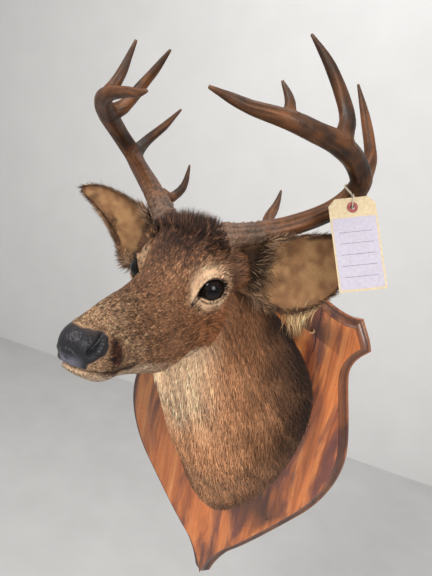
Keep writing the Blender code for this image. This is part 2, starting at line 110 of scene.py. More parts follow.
def spline(rows, steps):
    """Catmull-Rom through rows, with so many steps after each row."""
    rows = np.asarray(rows, float)
    padded = np.concatenate([2 * rows[:1] - rows[1:2], rows, 2 * rows[-1:] - rows[-2:-1]])
    out = []
    for i, count in enumerate(np.broadcast_to(steps, len(rows) - 1)):
        a, b, c, d = padded[i:i + 4]
        for t in np.arange(count) / count:
            out.append(0.5 * (2 * b + (c - a) * t + (2 * a - 5 * b + 4 * c - d) * t ** 2
                              + (3 * b - a - 3 * c + d) * t ** 3))
    return np.array(out + [rows[-1]])


def run_along(line):
    """How far along a line each of its points is."""
    return np.concatenate([[0], np.cumsum(np.linalg.norm(np.diff(line, axis=0), axis=1))])


# ---- meshes
def add(name, data):
    obj = bpy.data.objects.new(name, data)
    bpy.context.scene.collection.objects.link(obj)
    return obj


def build(name, points, faces, smooth=True):
    """A mesh object from points and arrays of faces, each with one number of corners."""
    faces = [np.asarray(f) for f in faces]
    corners = np.concatenate([f.ravel() for f in faces])
    sizes = np.concatenate([np.full(len(f), f.shape[1]) for f in faces])
    mesh = bpy.data.meshes.new(name)
    mesh.vertices.add(len(points))
    mesh.vertices.foreach_set("co", np.asarray(points, np.float32).ravel())
    mesh.loops.add(len(corners))
    mesh.loops.foreach_set("vertex_index", corners.astype(np.int32))
    mesh.polygons.add(len(sizes))
    mesh.polygons.foreach_set("loop_start", (np.cumsum(sizes) - sizes).astype(np.int32))
    mesh.polygons.foreach_set("use_smooth", np.full(len(sizes), smooth))
    mesh.update(calc_edges=True)
    mesh.validate()
    return add(name, mesh)


def grid_faces(rows, columns):
    """Quads of a grid whose columns close on themselves."""
    i, j = np.meshgrid(np.arange(rows - 1) * columns, np.arange(columns), indexing="ij")
    k = (j + 1) % columns
    return np.stack([i + j, i + columns + j, i + columns + k, i + k], -1).reshape(-1, 4)


def closed_grid(rows, columns):
    """Faces of a grid and of a cap on each end, whose centres are the two next points."""
    j, n = np.arange(columns), rows * columns
    cap = np.stack([j, (j + 1) % columns, 0 * j], -1)
    return [grid_faces(rows, columns), (cap + (0, 0, n))[:, ::-1], cap + (n - columns, n - columns, n + 1)]


def prism_faces(rows, columns):
    """Faces of a grid closed by its first and last rings."""
    ring = np.arange(columns)[None, :]
    return [grid_faces(rows, columns), ring, (ring + (rows - 1) * columns)[:, ::-1]]


def outward(obj):
    work = bmesh.new()
    work.from_mesh(obj.data)
    bmesh.ops.recalc_face_normals(work, faces=work.faces)
    work.to_mesh(obj.data)
    work.free()


def modify(obj, kind, **settings):
    made = obj.modifiers.new(kind.lower(), kind)
    for key, value in settings.items():
        setattr(made, key, value)


def bake(obj):
    """Give an object the mesh that its modifiers make."""
    bpy.context.view_layer.update()
    mesh = bpy.data.meshes.new_from_object(obj.evaluated_get(bpy.context.evaluated_depsgraph_get()))
    obj.modifiers.clear()
    obj.data = mesh


def combine(obj, tool, operation):
    """Join a tool to an object or cut it out, and discard the tool."""
    modify(obj, "BOOLEAN", operation=operation, solver="EXACT", object=tool)
    bake(obj)
    bpy.data.objects.remove(tool, do_unlink=True)


def read(items, name):
    """A vector of every item of a mesh, as an array."""
    out = np.empty(len(items) * 3, np.float32)
    items.foreach_get(name, out)
    return out.reshape(-1, 3).astype(float)


def paint(obj, colours, name="coat"):
    """Store a colour for each point of the mesh."""
    layer = obj.data.color_attributes.new(name, "FLOAT_COLOR", "POINT")
    full = np.ones((len(obj.data.vertices), 4), np.float32)
    full[:, :3] = np.clip(colours, 0, 1)
    layer.data.foreach_set("color", full.ravel())


def lay_out(obj, uv_of_point):
    """Give the mesh its UV map from one place for each point."""
    layer = obj.data.uv_layers.new(name="OFBake")
    index = np.empty(len(obj.data.loops), np.int32)
    obj.data.loops.foreach_get("vertex_index", index)
    layer.data.foreach_set("uv", np.asarray(uv_of_point, np.float32)[index].ravel())


def dress(obj, shader):
    obj.data.materials.clear()
    obj.data.materials.append(shader.material)


def finish(obj, shader, nodes=()):
    """Give a piece its material and its place on the model."""
    dress(obj, shader)
    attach(obj, "root")
    if nodes:
        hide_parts(*nodes)
    return obj


def nearest(targets, points):
    """Index of the nearest target for each point."""
    tree = KDTree(len(targets))
    for i, target in enumerate(targets):
        tree.insert(target, i)
    tree.balance()
    return np.array([tree.find(point)[1] for point in points])


class Shader:
    """A Principled material, with short calls for the nodes that feed it."""

    def __init__(self, name, roughness=0.5, **constants):
        self.material = bpy.data.materials.new(name)
        self.material.use_nodes = True
        self.tree = self.material.node_tree
        self.shader = self.tree.nodes["Principled BSDF"]
        self.set("Roughness", roughness)
        for key, value in constants.items():
            self.set(key.replace("_", " "), value)

    def feed(self, socket, value):
        if isinstance(value, bpy.types.NodeSocket):
            self.tree.links.new(value, socket)
        else:
            socket.default_value = value

    def set(self, name, value):
        self.feed(self.shader.inputs[name], value)

    def node(self, kind, inputs=None, output=0, **settings):
        made = self.tree.nodes.new("ShaderNode" + kind)
        for key, value in settings.items():
            setattr(made, key, value)
        for key, value in (inputs or {}).items():
            self.feed(made.inputs[key], value)
        return made.outputs[output]

    def attribute(self, name, output="Color"):
        return self.node("Attribute", output=output, attribute_name=name, attribute_type="GEOMETRY")

    def math(self, operation, *values):
        return self.node("Math", dict(enumerate(values)), operation=operation)

    def place(self, scale=(1, 1, 1)):
        return self.node("Mapping", {"Vector": self.node("TexCoord", output="Object"), "Scale": scale})

    def noise(self, scale, detail=3.0, rough=0.55, where=None, distortion=0.0):
        return self.node("TexNoise", {"Vector": self.place() if where is None else where, "Scale": scale,
                                      "Detail": detail, "Roughness": rough, "Distortion": distortion})

    def ramp(self, factor, *stops):
        """A ramp with stops of (place, grey), or (place, red, green, blue) as on a screen."""
        out = self.node("ValToRGB", {0: factor})
        elements = out.node.color_ramp.elements
        while len(elements) < len(stops):
            elements.new(0.5)
        for element, (at, *colour) in zip(elements, stops):
            element.position = at
            element.color = (*(srgb(*colour) if len(colour) == 3 else colour * 3), 1.0)
        return out

    def blend(self, factor, a, b, mode="MIX"):
        a, b = (x if isinstance(x, bpy.types.NodeSocket) else (*x, 1.0) for x in (a, b))
        return self.node("Mix", {0: factor, 6: a, 7: b}, 2, data_type="RGBA", blend_type=mode)

    def bump(self, height, strength, distance):
        self.set("Normal", self.node("Bump", {"Height": height, "Strength": strength, "Distance": distance}))


# ---- camera
right, down, ahead = (Vector(v).normalized() for v in (
    (0.920, 0.3544, 0.1672), (0.2283, -0.1381, -0.9638), (-0.3185, 0.9249, -0.2079)))
lens = bpy.data.cameras.new("camera")
lens.sensor_fit = "VERTICAL"
lens.sensor_height = 36.0
lens.lens = 27.06
lens.clip_start = 0.01
camera = add("camera", lens)
camera.matrix_world = Matrix.Translation((0.173, -0.7169, 0.4186)) @ Matrix(
    (right, -down, -ahead)).transposed().to_4x4()
bpy.context.scene.camera = camera


# ---- the frame's sizes
HEAD_MATRIX = Matrix.Translation((-0.0575, -0.2286, 0.3084)) @ Euler(
    (math.radians(13.5), math.radians(2.0), math.radians(-2.5)), "XYZ").to_matrix().to_4x4()
TO_MODEL = np.array(HEAD_MATRIX)
TO_HEAD = np.array(HEAD_MATRIX.inverted())
BOARD_THICKNESS = 0.022


def in_model(points):
    """Head-frame millimetres to metres in the model's frame."""
    return np.asarray(points) * MM @ TO_MODEL[:3, :3].T + TO_MODEL[:3, 3]


def in_head(points):
    return (np.asarray(points) @ TO_HEAD[:3, :3].T + TO_HEAD[:3, 3]) / MM


# top (y, z), bottom (y, z), half width, height of the widest part, and squareness
# above and below it; a section of the neck is in metres and starts with its centre x
HEAD_STATIONS = [
    ((-195, 5), (-192, -14), 10, 0.50, 2.2, 2.2),
    ((-190, 13), (-186, -29), 18, 0.52, 2.4, 2.3),
    ((-180, 19), (-174, -41), 22, 0.52, 2.4, 2.4),
    ((-163, 21), (-161, -51), 26, 0.50, 2.3, 2.6),
    ((-142, 24), (-142, -59), 27, 0.48, 2.2, 2.7),
    ((-118, 25), (-118, -72), 30, 0.47, 2.2, 2.7),
    ((-90, 24), (-90, -89), 36, 0.47, 2.1, 2.6),
    ((-60, 27), (-60, -106), 42, 0.48, 2.0, 2.55),
    ((-30, 38), (-30, -114), 47, 0.45, 1.9, 2.45),
    ((0, 50), (-10, -117), 52, 0.52, 2.2, 2.4),
    ((30, 58), (0, -122), 58, 0.55, 2.4, 2.4),
    ((60, 62), (8, -126), 62, 0.50, 2.3, 2.4),
]
MUZZLE_SHIFT, MUZZLE_TURN = 2.0, 0.047
NECK_STATIONS = [
    (-0.054, (-0.140, 0.373), (-0.194, 0.172), 0.069, 0.50, 2.2, 1.95),
    (-0.034, (-0.105, 0.334), (-0.202, 0.128), 0.079, 0.50, 2.1, 1.95),
    (-0.012, (-0.078, 0.299), (-0.195, 0.075), 0.089, 0.50, 2.1, 1.9),
    (0.012, (-0.058, 0.267), (-0.180, 0.021), 0.105, 0.50, 2.1, 1.87),
    (0.024, (-0.042, 0.235), (-0.148, -0.031), 0.115, 0.56, 2.1, 1.83),
    (0.021, (-0.031, 0.217), (-0.105, -0.088), 0.117, 0.59, 2.1, 1.77),
    (0.007, (-0.0225, 0.202), (-0.0225, -0.134), 0.129, 0.61, 2.2, 1.83),
]
EYE_RADIUS, EYE_TILT = 17.0, 0.22
EYES = {side: np.array([50.0 * side + MUZZLE_SHIFT, 10.0, -4.0]) for side in SIDES}

# upper edge, lower edge and depth of the cup, from an ear's root to its tip
EARS = {
    1: [(58, 74, 38, 56, 50, -14, 10), (90, 84, 49, 86, 58, -26, 22), (120, 88, 59, 118, 64, -36, 22),
        (147, 90, 68, 154, 70, -32, 18), (170, 90, 73, 185, 77, -6, 13), (193, 90, 71, 202, 83, 24, 7),
        (213, 90, 58, 213, 89, 52, 1)],
    -1: [(58, 70, 34, 56, 40, -12, 10), (80, 76, 45, 80, 42, -20, 22), (104, 78, 57, 104, 41, -14, 22),
         (136, 78, 68, 118, 44, 5, 17), (165, 76, 73, 139, 47, 31, 12), (187, 74, 71, 168, 54, 51, 7),
         (203, 71, 65, 200, 69, 60, 1)],
}
EAR_BACK = np.array([-0.45, 0.80, -0.25])
EAR_CURL = 1.2

# points (distance from the middle, y, z) and radius of each antler's beam and tines
ANTLERS = {
    1: {
        "beam": [(30, 44, 40, 9), (46, 58, 50, 15.5), (74, 83, 54, 14.5), (113, 111, 66, 14),
                 (155, 137, 90, 13.5), (183, 144, 126, 14), (175, 127, 156, 13.5), (158, 93, 177, 14),
                 (138, 57, 189, 12), (112, 29, 200, 10.5), (80, 10, 207, 8), (57, -3, 215, 5.5),
                 (37, -14, 223, 2.2)],
        "brow_tine": [(84, 105, 60, 9), (79, 122, 68, 7.5), (78, 151, 81, 5), (74, 177, 96, 1.8)],
        "g2": [(184, 150, 132, 12), (184, 186, 158, 8.5), (163, 219, 202, 6.5), (138, 246, 245, 2)],
        "g3": [(158, 95, 180, 13), (157, 110, 203, 9.5), (141, 122, 231, 8), (118, 128, 262, 6),
               (92, 130, 289, 2)],
        "g4": [(111, 30, 203, 7.5), (106, 39, 219, 5.3), (92, 48, 236, 2)],
    },
    -1: {
        "beam": [(30, 44, 37, 9), (47, 59, 54, 15.5), (83, 89, 72, 14.5), (120, 118, 87, 14),
                 (149, 140, 99, 13.5), (167, 147, 116, 14), (174, 126, 143, 13.5), (168, 90, 172, 14),
                 (147, 54, 191, 11.5), (117, 28, 202, 9), (82, 12, 207, 6.5), (55, -2, 208, 5),
                 (34, -15, 212, 2.2)],
        "brow_tine": [(82, 103, 72, 9), (76, 122, 66, 7.5), (72, 151, 80, 5.5), (79, 178, 107, 1.8)],
        "g2": [(165, 152, 112, 12), (165, 185, 130, 8.5), (153, 217, 153, 6.5), (138, 245, 181, 2)],
        "g3": [(168, 92, 172, 13), (152, 108, 185, 9.5), (134, 123, 213, 7.5), (114, 130, 239, 5.5),
               (96, 132, 261, 2)],
        "g4": [(116, 28, 204, 7.5), (106, 38, 226, 6.2), (92, 47, 263, 2)],
    },
}


# ---- form of the head and neck
AROUND = 288                          # points of a section
HEAD_STEP, NECK_STEP = 1.5, 4.0       # millimetres from one row to the next


def section(top, bottom, half_width, widest, above, below):
    """A closed section in its own plane, evenly spaced, from superellipse halves."""
    turn = np.linspace(0, 2 * np.pi, 1441)
    c, s = np.cos(turn), np.sin(turn)
    power = 2 / np.where(s >= 0, above, below)
    x = half_width * np.sign(c) * np.abs(c) ** power
    height = widest + np.sign(s) * np.abs(s) ** power * np.where(s >= 0, 1 - widest, widest)
    yz = np.asarray(bottom) + (np.asarray(top, float) - bottom) * height[:, None]
    line = np.column_stack([x, yz])
    run = run_along(line)
    at = np.arange(AROUND) / AROUND * run[-1]
    return np.column_stack([np.interp(at, run, line[:, k]) for k in range(3)])


def body_sections():
    """Sections from the tip of the nose to the plaque, and how many rows the head has."""
    rings = [section(*row) for row in HEAD_STATIONS]
    for ring in rings:
        ring[:, 0] += MUZZLE_SHIFT - MUZZLE_TURN * ring[:, 1]
    for centre, *row in NECK_STATIONS:
        rings.append(in_head(section(*row) + (centre, 0, 0)))
    gaps = [np.linalg.norm(b - a, axis=1).mean() for a, b in zip(rings[:-1], rings[1:])]
    on_head = len(HEAD_STATIONS) - 1
    steps = [max(2, round(gap / (HEAD_STEP if i < on_head else NECK_STEP))) for i, gap in enumerate(gaps)]
    return spline(rings, steps), sum(steps[:on_head])


def grid_normals(grid):
    along = np.gradient(grid, axis=0)
    around = np.roll(grid, -1, axis=1) - np.roll(grid, 1, axis=1)
    return unit(np.cross(along, around)), unit(along)


def folded(points):
    """Points with the face's swing to one side taken out, and its sides laid together."""
    out = np.array(points, float)
    out[..., 0] = np.abs(out[..., 0] - (MUZZLE_SHIFT - MUZZLE_TURN * np.minimum(out[..., 1], 60)))
    return out


def line_distance(points, line):
    """Distance in a plane from points to a broken line, and how far along it."""
    best = np.full(points.shape[:-1], 1e9)
    share = np.zeros_like(best)
    line = np.asarray(line, float)
    for i, (a, b) in enumerate(zip(line[:-1], line[1:])):
        d = b - a
        t = np.clip(((points - a) * d).sum(-1) / (d ** 2).sum(), 0, 1)
        far = np.linalg.norm(points - a - t[..., None] * d, axis=-1)
        share = np.where(far < best, (i + t) / (len(line) - 1), share)
        best = np.minimum(best, far)
    return best, share


def inside(points, outline):
    """Signed distance to a closed outline in a plane, positive inside."""
    outline = np.asarray(outline, float)
    far, _ = line_distance(points, np.concatenate([outline, outline[:1]]))
    x, y = points[..., 0], points[..., 1]
    within = np.zeros(x.shape, bool)
    for a, b in zip(outline, np.roll(outline, -1, axis=0)):
        crossing = (a[1] > y) != (b[1] > y)
        within ^= crossing & (x < (b[0] - a[0]) * (y - a[1]) / (b[1] - a[1] + 1e-12) + a[0])
    return np.where(within, far, -far)


# Lines of the face as (y, z) of the head frame: the mouth, the bare nose, the nostril
MOUTH = [(-197, -15), (-190, -18), (-177, -25), (-155, -37), (-131, -46), (-116, -49)]
NOSE_PAD = [(-205, 30), (-184, 22), (-178, 19), (-171, 16), (-166, 12), (-163, 6), (-165, -2), (-171, -8),
            (-181, -9), (-188, -10), (-190, -17), (-205, -17)]
NOSTRIL = [(-186, 2), (-181, 3), (-175, 7), (-170, 11)]
TEAR_DUCT = [(17, -0.5), (24, -2.5), (33, -5.5)]     # in an eye's own frame
FORMS = [                                            # centre, radii, rise
    ((50, 8, -32), (14, 30, 11), 3.0),         # cheek bone
    ((56, 42, -16), (12, 26, 12), 2.5),        # its run to the ear
    ((52, 22, -62), (26, 30, 24), 4.0),        # jaw muscle
    ((40, -58, -50), (16, 24, 22), -3.0),      # hollow before it
    ((38, -46, 10), (12, 22, 12), -2.5),       # hollow before the eye
    ((27, -110, 2), (12, 40, 9), -1.6),        # side of the nose bridge
    ((0, 4, 50), (16, 34, 22), -2.0),          # hollow of the forehead
    ((34, 26, 56), (14, 22, 14), 3.5),         # over the antler's root
    ((27, -160, -22), (12, 22, 13), 2.6),      # pad of the upper lip
    ((24, -146, 9), (10, 14, 10), -1.6),       # pinch behind the nostril
    ((20, -173, -42), (22, 16, 10), 1.8),      # chin
    ((30, -108, -62), (14, 20, 14), -1.8)]     # behind the lower lip


def sculpt(grid):
    """How far the plain body is raised to a deer's face, in mm."""
    p = folded(grid)
    x, y, z = np.moveaxis(p, -1, 0)
    rise = sum(amount * bell(p, centre, radii) for centre, radii, amount in FORMS)
    # the thick root of an ear
    rise += 25.0 * np.exp(-(((y - 60) / 20) ** 2 + ((z - 8) / 27) ** 2) ** 2) * np.clip((x - 30) / 20, 0, 1)
    # mouth: a groove between two rolled lips
    far, share = line_distance(p[..., 1:], MOUTH)
    depth = 1 - 0.55 * step(0.35, 0.6, share) - 0.45 * step(0.6, 0.85, share)
    rise += depth * (-3.2 * hump(far, 1.5) + 1.2 * hump(far - 4.2, 2.4))
    # nose: nostril, its wing and the groove down the middle
    far, share = line_distance(p[..., 1:], NOSTRIL)
    rise += step(15, 21, x) * (-7.5 * (1 - 0.6 * share) * hump(far, 3.4 - 1.7 * share)
                               + 1.8 * hump(far - 6.2, 2.4) * step(-200, -186, y))
    return rise - 1.6 * hump(x, 1.3) * step(-186, -192, y) * step(12, 0, z)


def eye_frame(side):
    """The ways forwards, up and out of an eye."""
    look = unit([0.66 * side, -0.71, 0.24])
    front = unit([-0.60 * side, -0.78, -0.12])
    front = unit(front - look * front.dot(look))
    up = np.cross(look, front) * side
    return front, up if up[2] > 0 else -up, look


EYE_FRAMES = {side: eye_frame(side) for side in SIDES}


def eye_opening(angle):
    """Distance from the eye's middle to the edge of the lids, by direction."""
    oval = 1 / np.sqrt((np.cos(angle) / 15.2) ** 2 + (np.sin(angle) / 12.6) ** 2)
    angle = (angle + np.pi) % (2 * np.pi) - np.pi
    return oval + 6.0 * hump(angle, 0.24) + 1.2 * hump(np.abs(angle) - np.pi, 0.3)


def eye_place(points, side):
    """Points seen from an eye: height along its look, distance from its axis, distance
    outside the lids' edge, direction, and distance from and share along the tear duct."""
    front, up, look = EYE_FRAMES[side]
    q = points - EYES[side]
    a, b = q @ front, q @ up
    c, s = math.cos(EYE_TILT), math.sin(EYE_TILT)
    a, b = a * c - b * s, a * s + b * c
    reach, angle = np.hypot(a, b), np.arctan2(b, a)
    return q @ look, reach, reach - eye_opening(angle), angle, *line_distance(np.stack([a, b], -1), TEAR_DUCT)


def ball_height(reach, radius=EYE_RADIUS):
    return np.sqrt(np.maximum(radius ** 2 - reach ** 2, 0))


def set_eyes(grid):
    """Lids, sockets, the mounds round the eyes and their tear ducts."""
    for side in SIDES:
        h, reach, out, angle, duct, _ = eye_place(grid, side)
        rim = ball_height(np.minimum(eye_opening(angle), 15.3))
        over = ball_height(np.minimum(reach, 20), EYE_RADIUS + 3.5) - 2.0
        upper = step(-0.2, 0.5, np.sin(angle))
        lid = rim + 1.7 * (1 - np.exp(-np.maximum(out, 0) / 0.7)) + 0.5 * hump(out - 1.5, 1.2)
        fold = (-1.3 * upper - 0.5) * hump(out - 5.0, 1.3)
        target = np.where(out < 0, ball_height(reach) - 3.0, between(lid, over + 1.2, step(1.5, 6, out)) + fold)
        # the rim behind and above the eye stands out most; in front it runs into the face
        keep = step(1.5, 20 + 9 * upper + 6 * step(0, -1, np.cos(angle)), out)
        target = between(target, h - 1.0, hump(angle, 0.45) * step(-3, 6, out) * step(12, 18, reach))
        near = (h > -42) & (np.abs(grid[..., 0] - MUZZLE_SHIFT) > 12) & (grid[..., 0] * side > 0)
        new = between(target, h, np.where(near, keep, 1)) - 2.6 * hump(duct, 1.9) * near
        grid = grid + EYE_FRAMES[side][2] * (new - h)[..., None]
    return grid


def coat_depth(points, station):
    """How far the skin lies below the tips of the coat, in millimetres."""
    x, y, z = np.moveaxis(folded(points), -1, 0)
    depth = np.interp(y, [-200, -176, -160, -120, -30, 40, 90], [0.2, 0.3, 1.4, 2.0, 2.6, 3.4, 6.0])
    depth = np.where(station > 0, np.maximum(depth, 3.4 + 6.0 * step(0, 0.35, station)), depth)
    return depth + 5.0 * step(20, 50, y) * step(30, 52, z) * step(34, 22, x)


def make_body_grid():
    grid, head_rows = body_sections()
    rows = len(grid)
    station = np.clip((np.arange(rows) - head_rows) / (rows - 1 - head_rows), 0, 1)[:, None].repeat(AROUND, 1)
    normal, _ = grid_normals(grid)
    grid = grid - normal * coat_depth(grid, station)[..., None]
    grid = set_eyes(grid + normal * sculpt(grid)[..., None])
    board = in_model(grid[-1:])
    board[..., 1] = -BOARD_THICKNESS - 0.0004
    grid[-1:] = in_head(board)
    # a rounded end closes the nose
    centre = grid[0].mean(0)
    cap = np.array([centre + (grid[0] - centre) * math.sin(t) - (0, 3.0 * math.cos(t), 0)
                    for t in np.linspace(0.12, 0.97, 8) * math.pi / 2])
    return np.concatenate([cap, grid]), np.concatenate([np.zeros(cap.shape[:2]), station]), head_rows + len(cap)


BODY, STATION, HEAD_ROWS = make_body_grid()
BODY_NORMAL, BODY_ALONG = grid_normals(BODY)


# ---- ears
def ear_shell(side):
    """The inner face, outer face and edge of an ear as one closed grid, in head
    millimetres. Columns run round the blade: inside first, then the back."""
    table = spline(EARS[side], 10)
    table = spline(table[np.linspace(0, len(table) - 1, 15).round().astype(int)], 5)
    rows = []
    for share, row in zip(np.linspace(0, 1, len(table)), table):
        upper, lower, depth = row[:3], row[3:6], row[6]
        middle, half = (upper + lower) / 2, (lower - upper) / 2
        back = unit(EAR_BACK - half * EAR_BACK.dot(half) / half.dot(half))
        thick = 1.6 + 2.6 * (1 - share) ** 2 + 6.0 * (1 - share) ** 7
        turn = np.linspace(-1, 1, 29)
        angle = turn * EAR_CURL
        across = np.sin(angle) / math.sin(EAR_CURL)
        sunk = (np.cos(angle) - math.cos(EAR_CURL)) / (1 - math.cos(EAR_CURL))
        body = middle + half * across[:, None] * 0.985 + back * (depth * sunk)[:, None]
        out = unit(back * np.cos(angle)[:, None] + unit(half) * np.sin(angle)[:, None])
        wall = thick * np.sqrt(np.maximum(1 - turn ** 8, 0)) / 2
        ribs = 1.1 * np.cos(turn * 9.0) * np.exp(-(turn / 0.75) ** 4) * (1 - share) * (1 - np.exp(-share * 8))
        rows.append(np.concatenate([body - out * (wall + ribs)[:, None], (body + out * wall[:, None])[-2:0:-1]]))
    return np.array(rows) * (side, 1, 1)


EAR_GRIDS = {side: ear_shell(side) for side in SIDES}
EAR_ROWS, EAR_COLUMNS = EAR_GRIDS[1].shape[:2]
HALF = EAR_COLUMNS // 2
# over an ear's grid: 0 on the cup's middle to 1 on its edges, and 0 to 1 from root to tip
EAR_TURN = np.abs(np.concatenate([np.linspace(-1, 1, HALF + 1), np.linspace(1, -1, HALF + 1)[1:-1]]))[None, :]
EAR_SHARE = (np.arange(EAR_ROWS) / (EAR_ROWS - 1))[:, None]


# ---- colours of the coat
FOREHEAD, FACE, CHEEK = srgb(72, 45, 34), srgb(152, 108, 78), srgb(142, 90, 56)
MUZZLE, PALE, CHIN = srgb(176, 138, 106), srgb(246, 206, 168), srgb(232, 198, 168)
DARK, RUSSET, BLACK = srgb(44, 26, 16), srgb(66, 34, 22), srgb(26, 22, 22)
THROAT, CHEST, FLANK = srgb(238, 204, 168), srgb(212, 156, 114), srgb(126, 84, 54)
EAR_IN, EAR_EDGE = srgb(150, 110, 76), srgb(58, 38, 27)


def nose_mask(points):
    """1 on the bare skin of the nose, 0 on the coat."""
    ragged = 1.2 * (noise(points, 4, 3) - 0.5)[..., None]
    return step(-0.8, 0.8, inside(folded(points)[..., 1:] + ragged, NOSE_PAD))


def coat_colour(points, station):
    """The coat's colour at points given in head-frame millimetres."""
    p = folded(points)
    x, y, z = np.moveaxis(p, -1, 0)
    yz = p[..., 1:]
    blotch = noise(points, 22, 1) - 0.5
    across, away, height = np.moveaxis(in_model(points), -1, 0)
    middle = np.interp(height, [-0.14, -0.03, 0.02, 0.08, 0.13, 0.30], [-0.01, 0.005, 0.0, -0.025, -0.045, -0.06])
    turn = np.arctan2(np.abs(across - middle), 0.5 * (-away - 0.10))
    neck = step(30, 75, y + 0.35 * (-60 - z))
    tan = overlay(
        FLANK,
        (CHEST, step(1.75, 0.55, turn + 0.5 * blotch + 0.7 * step(0.17, 0.27, height))),
        # darker sides and back: darker nape hair plus painted shade where the neck turns towards the board, most of
        # all high up
        (DARK, (0.30 + 0.66 * step(-0.02, 0.14, height)) * step(1.32, 1.64, turn + 0.12 * blotch)),
        (FLANK, 0.45 * step(0.10, -0.10, height + 0.05 * blotch)))
    far, share = line_distance(yz, MOUTH)
    above_lip = z - np.interp(y, [-205, -190, -155, -116, -60, 0], [-16, -18, -37, -50, -78, -92])
    colour = overlay(
        FACE,
        (CHEEK, step(-70, 10, y) * step(30, -20, z)),
        (MUZZLE, step(-95, -135, y + 30 * blotch)),
        # dark crown and forehead, running down the bridge of the nose
        (FOREHEAD, 0.95 * step(24, 46, z + 18 * blotch) * step(-75, -10, y)),
        (FOREHEAD, 0.45 * step(20, 6, x) * step(8, 20, z) * step(-140, -60, y)),
        (DARK, 0.55 * step(26, 52, y) * step(10, 40, z) * step(70, 40, x)),
        # painted shade under the antler's root, in front of the ear
        (DARK, 0.9 * bell(p, (62, 42, 6), (22, 24, 26))),
        # neck with its tan front, darker sides and back (darker nape hair deepened with painted shade towards the
        # board), and the pale throat
        (tan, np.maximum(neck, step(0.0, 0.06, station))),
        (THROAT, 0.9 * step(0.07, 0.15, height + 0.03 * blotch) * step(1.15, 0.55, turn)
         * np.maximum(neck, step(-86, -100, z)) * step(-110, -60, y)),
        # pale underside of the jaw, chin and lower lip, russet upper lip and dark mouth
        (CHIN, 0.9 * step(2, -6, above_lip) * step(-40, -110, y)),
        (PALE, 0.7 * step(6, -2, above_lip) * step(-172, -184, y)),
        (RUSSET, np.minimum(1, 1.5 * bell(yz, (-157, -14), (10, 17))) * step(12, 24, x)),
        (RUSSET, 0.6 * bell(yz, (-167, 14), (6, 4))),
        (DARK, 0.9 * hump(far - 0.8, 3.2) * step(0.30, 0.55, share) * step(1.0, 0.93, share)),
        (DARK, 0.8 * hump(far, 1.6) * step(1.0, 0.9, share)))
    # the pale ring and black rims of the eyes, and the dark tear ducts with a painted highlight down their middle
    for side in SIDES:
        h, _, out, angle, duct, share = eye_place(points, side)
        near = (h > -26) & (points[..., 0] * side > 10)
        width = 5.5 + 5.0 * np.abs(np.sin(angle)) + 2.0 * step(0.3, 1, np.cos(angle))
        ring = hump(out - 6.0, width) * near
        ring *= 0.35 + 0.65 * step(-1.0, 0.2, np.cos(angle) + 0.5 * np.abs(np.sin(angle)))
        colour = overlay(
            colour,
            (PALE, (0.97 if side > 0 else 0.55) * ring),
            (BLACK, near * step(1.6, 0.7, out) * step(-9, -6, out)),
            (BLACK, 0.95 * near * step(5.0, 3.4, duct + 1.5 * share)),
            # painted highlight: a pale line down the middle of each tear duct
            (PALE, 0.8 * near * hump(duct, 1.1) * step(0.85, 0.6, share)))
    naked = overlay(
        srgb(40, 39, 44),
        # painted highlight: lighter bluish grey over the lower front of the bare nose
        (srgb(120, 120, 134), 0.85 * step(2, -8, z) * step(16, 6, x)),
        (srgb(92, 78, 70), 0.5 * step(8, 18, z) * step(-186, -172, y)),
        # painted shade: near black in the nostril's groove
        (srgb(14, 11, 12), hump(line_distance(yz, NOSTRIL)[0], 2.4) * step(14, 19, x)))
    return mix(colour, naked, nose_mask(points))


def ear_colour(points, side):
    """Colour of an ear: tan inside, with painted shade deep in the cup by the root, and dark along the edge."""
    within = np.arange(EAR_COLUMNS) <= HALF
    blotch = noise(points, 14, 7) - 0.5
    vein = 0.4 * blotch + 0.6 * (noise(points, 7, 17) - 0.5)
    colour = overlay(
        EAR_IN,
        (srgb(196, 158, 108), 0.42 * step(-0.12, 0.42, vein + 0.12 - 0.3 * EAR_TURN ** 2)),
        (srgb(92, 60, 40), 0.45 * step(-0.02, 0.42, 0.15 * EAR_TURN ** 2 - vein)),
        # painted shade deep in the cup by the root
        (srgb(34, 22, 16), 0.9 * step(0.40, 0.22, EAR_SHARE + 0.2 * blotch) * (1 - EAR_TURN ** 4) * within),
        (EAR_EDGE, 0.8 * step(0.82, 0.97, EAR_TURN + 0.3 * blotch)),
        (RUSSET, (0.75 if side < 0 else 0.35) * step(0.80, 0.96, EAR_SHARE + 0.3 * blotch)))
    back = overlay(FLANK, (DARK, 0.35 + 0.4 * step(0.3, 0.9, EAR_SHARE)), (EAR_EDGE, 0.6 * step(0.75, 1, EAR_TURN)))
    return np.where(within[:, None], colour, back)


EAR_COLOURS = {side: ear_colour(grid, side) for side, grid in EAR_GRIDS.items()}


# ---- the one skin
def unwrap(share, columns, low, size):
    """Places on the UV map for a grid: its rows by their share of its length, and round it."""
    u = low[0] + size[0] * share
    v = low[1] + size[1] * np.arange(columns) / columns
    return np.stack(np.broadcast_arrays(u[:, None], v), -1)


length = np.concatenate([[0], np.cumsum(np.linalg.norm(np.diff(BODY, axis=0), axis=-1).mean(1))])
BODY_UV = unwrap(length / length[-1], AROUND, (0.02, 0.02), (0.60, 0.96))
EAR_UV = {side: unwrap(EAR_SHARE[:, 0], EAR_COLUMNS, (0.66, 0.27 + 0.25 * side), (0.30, 0.44)) for side in SIDES}


def capped(grid):
    """The points of a grid and of the middles of its two ends."""
    return np.concatenate([grid.reshape(-1, 3), grid[:1].mean(1), grid[-1:].mean(1)])


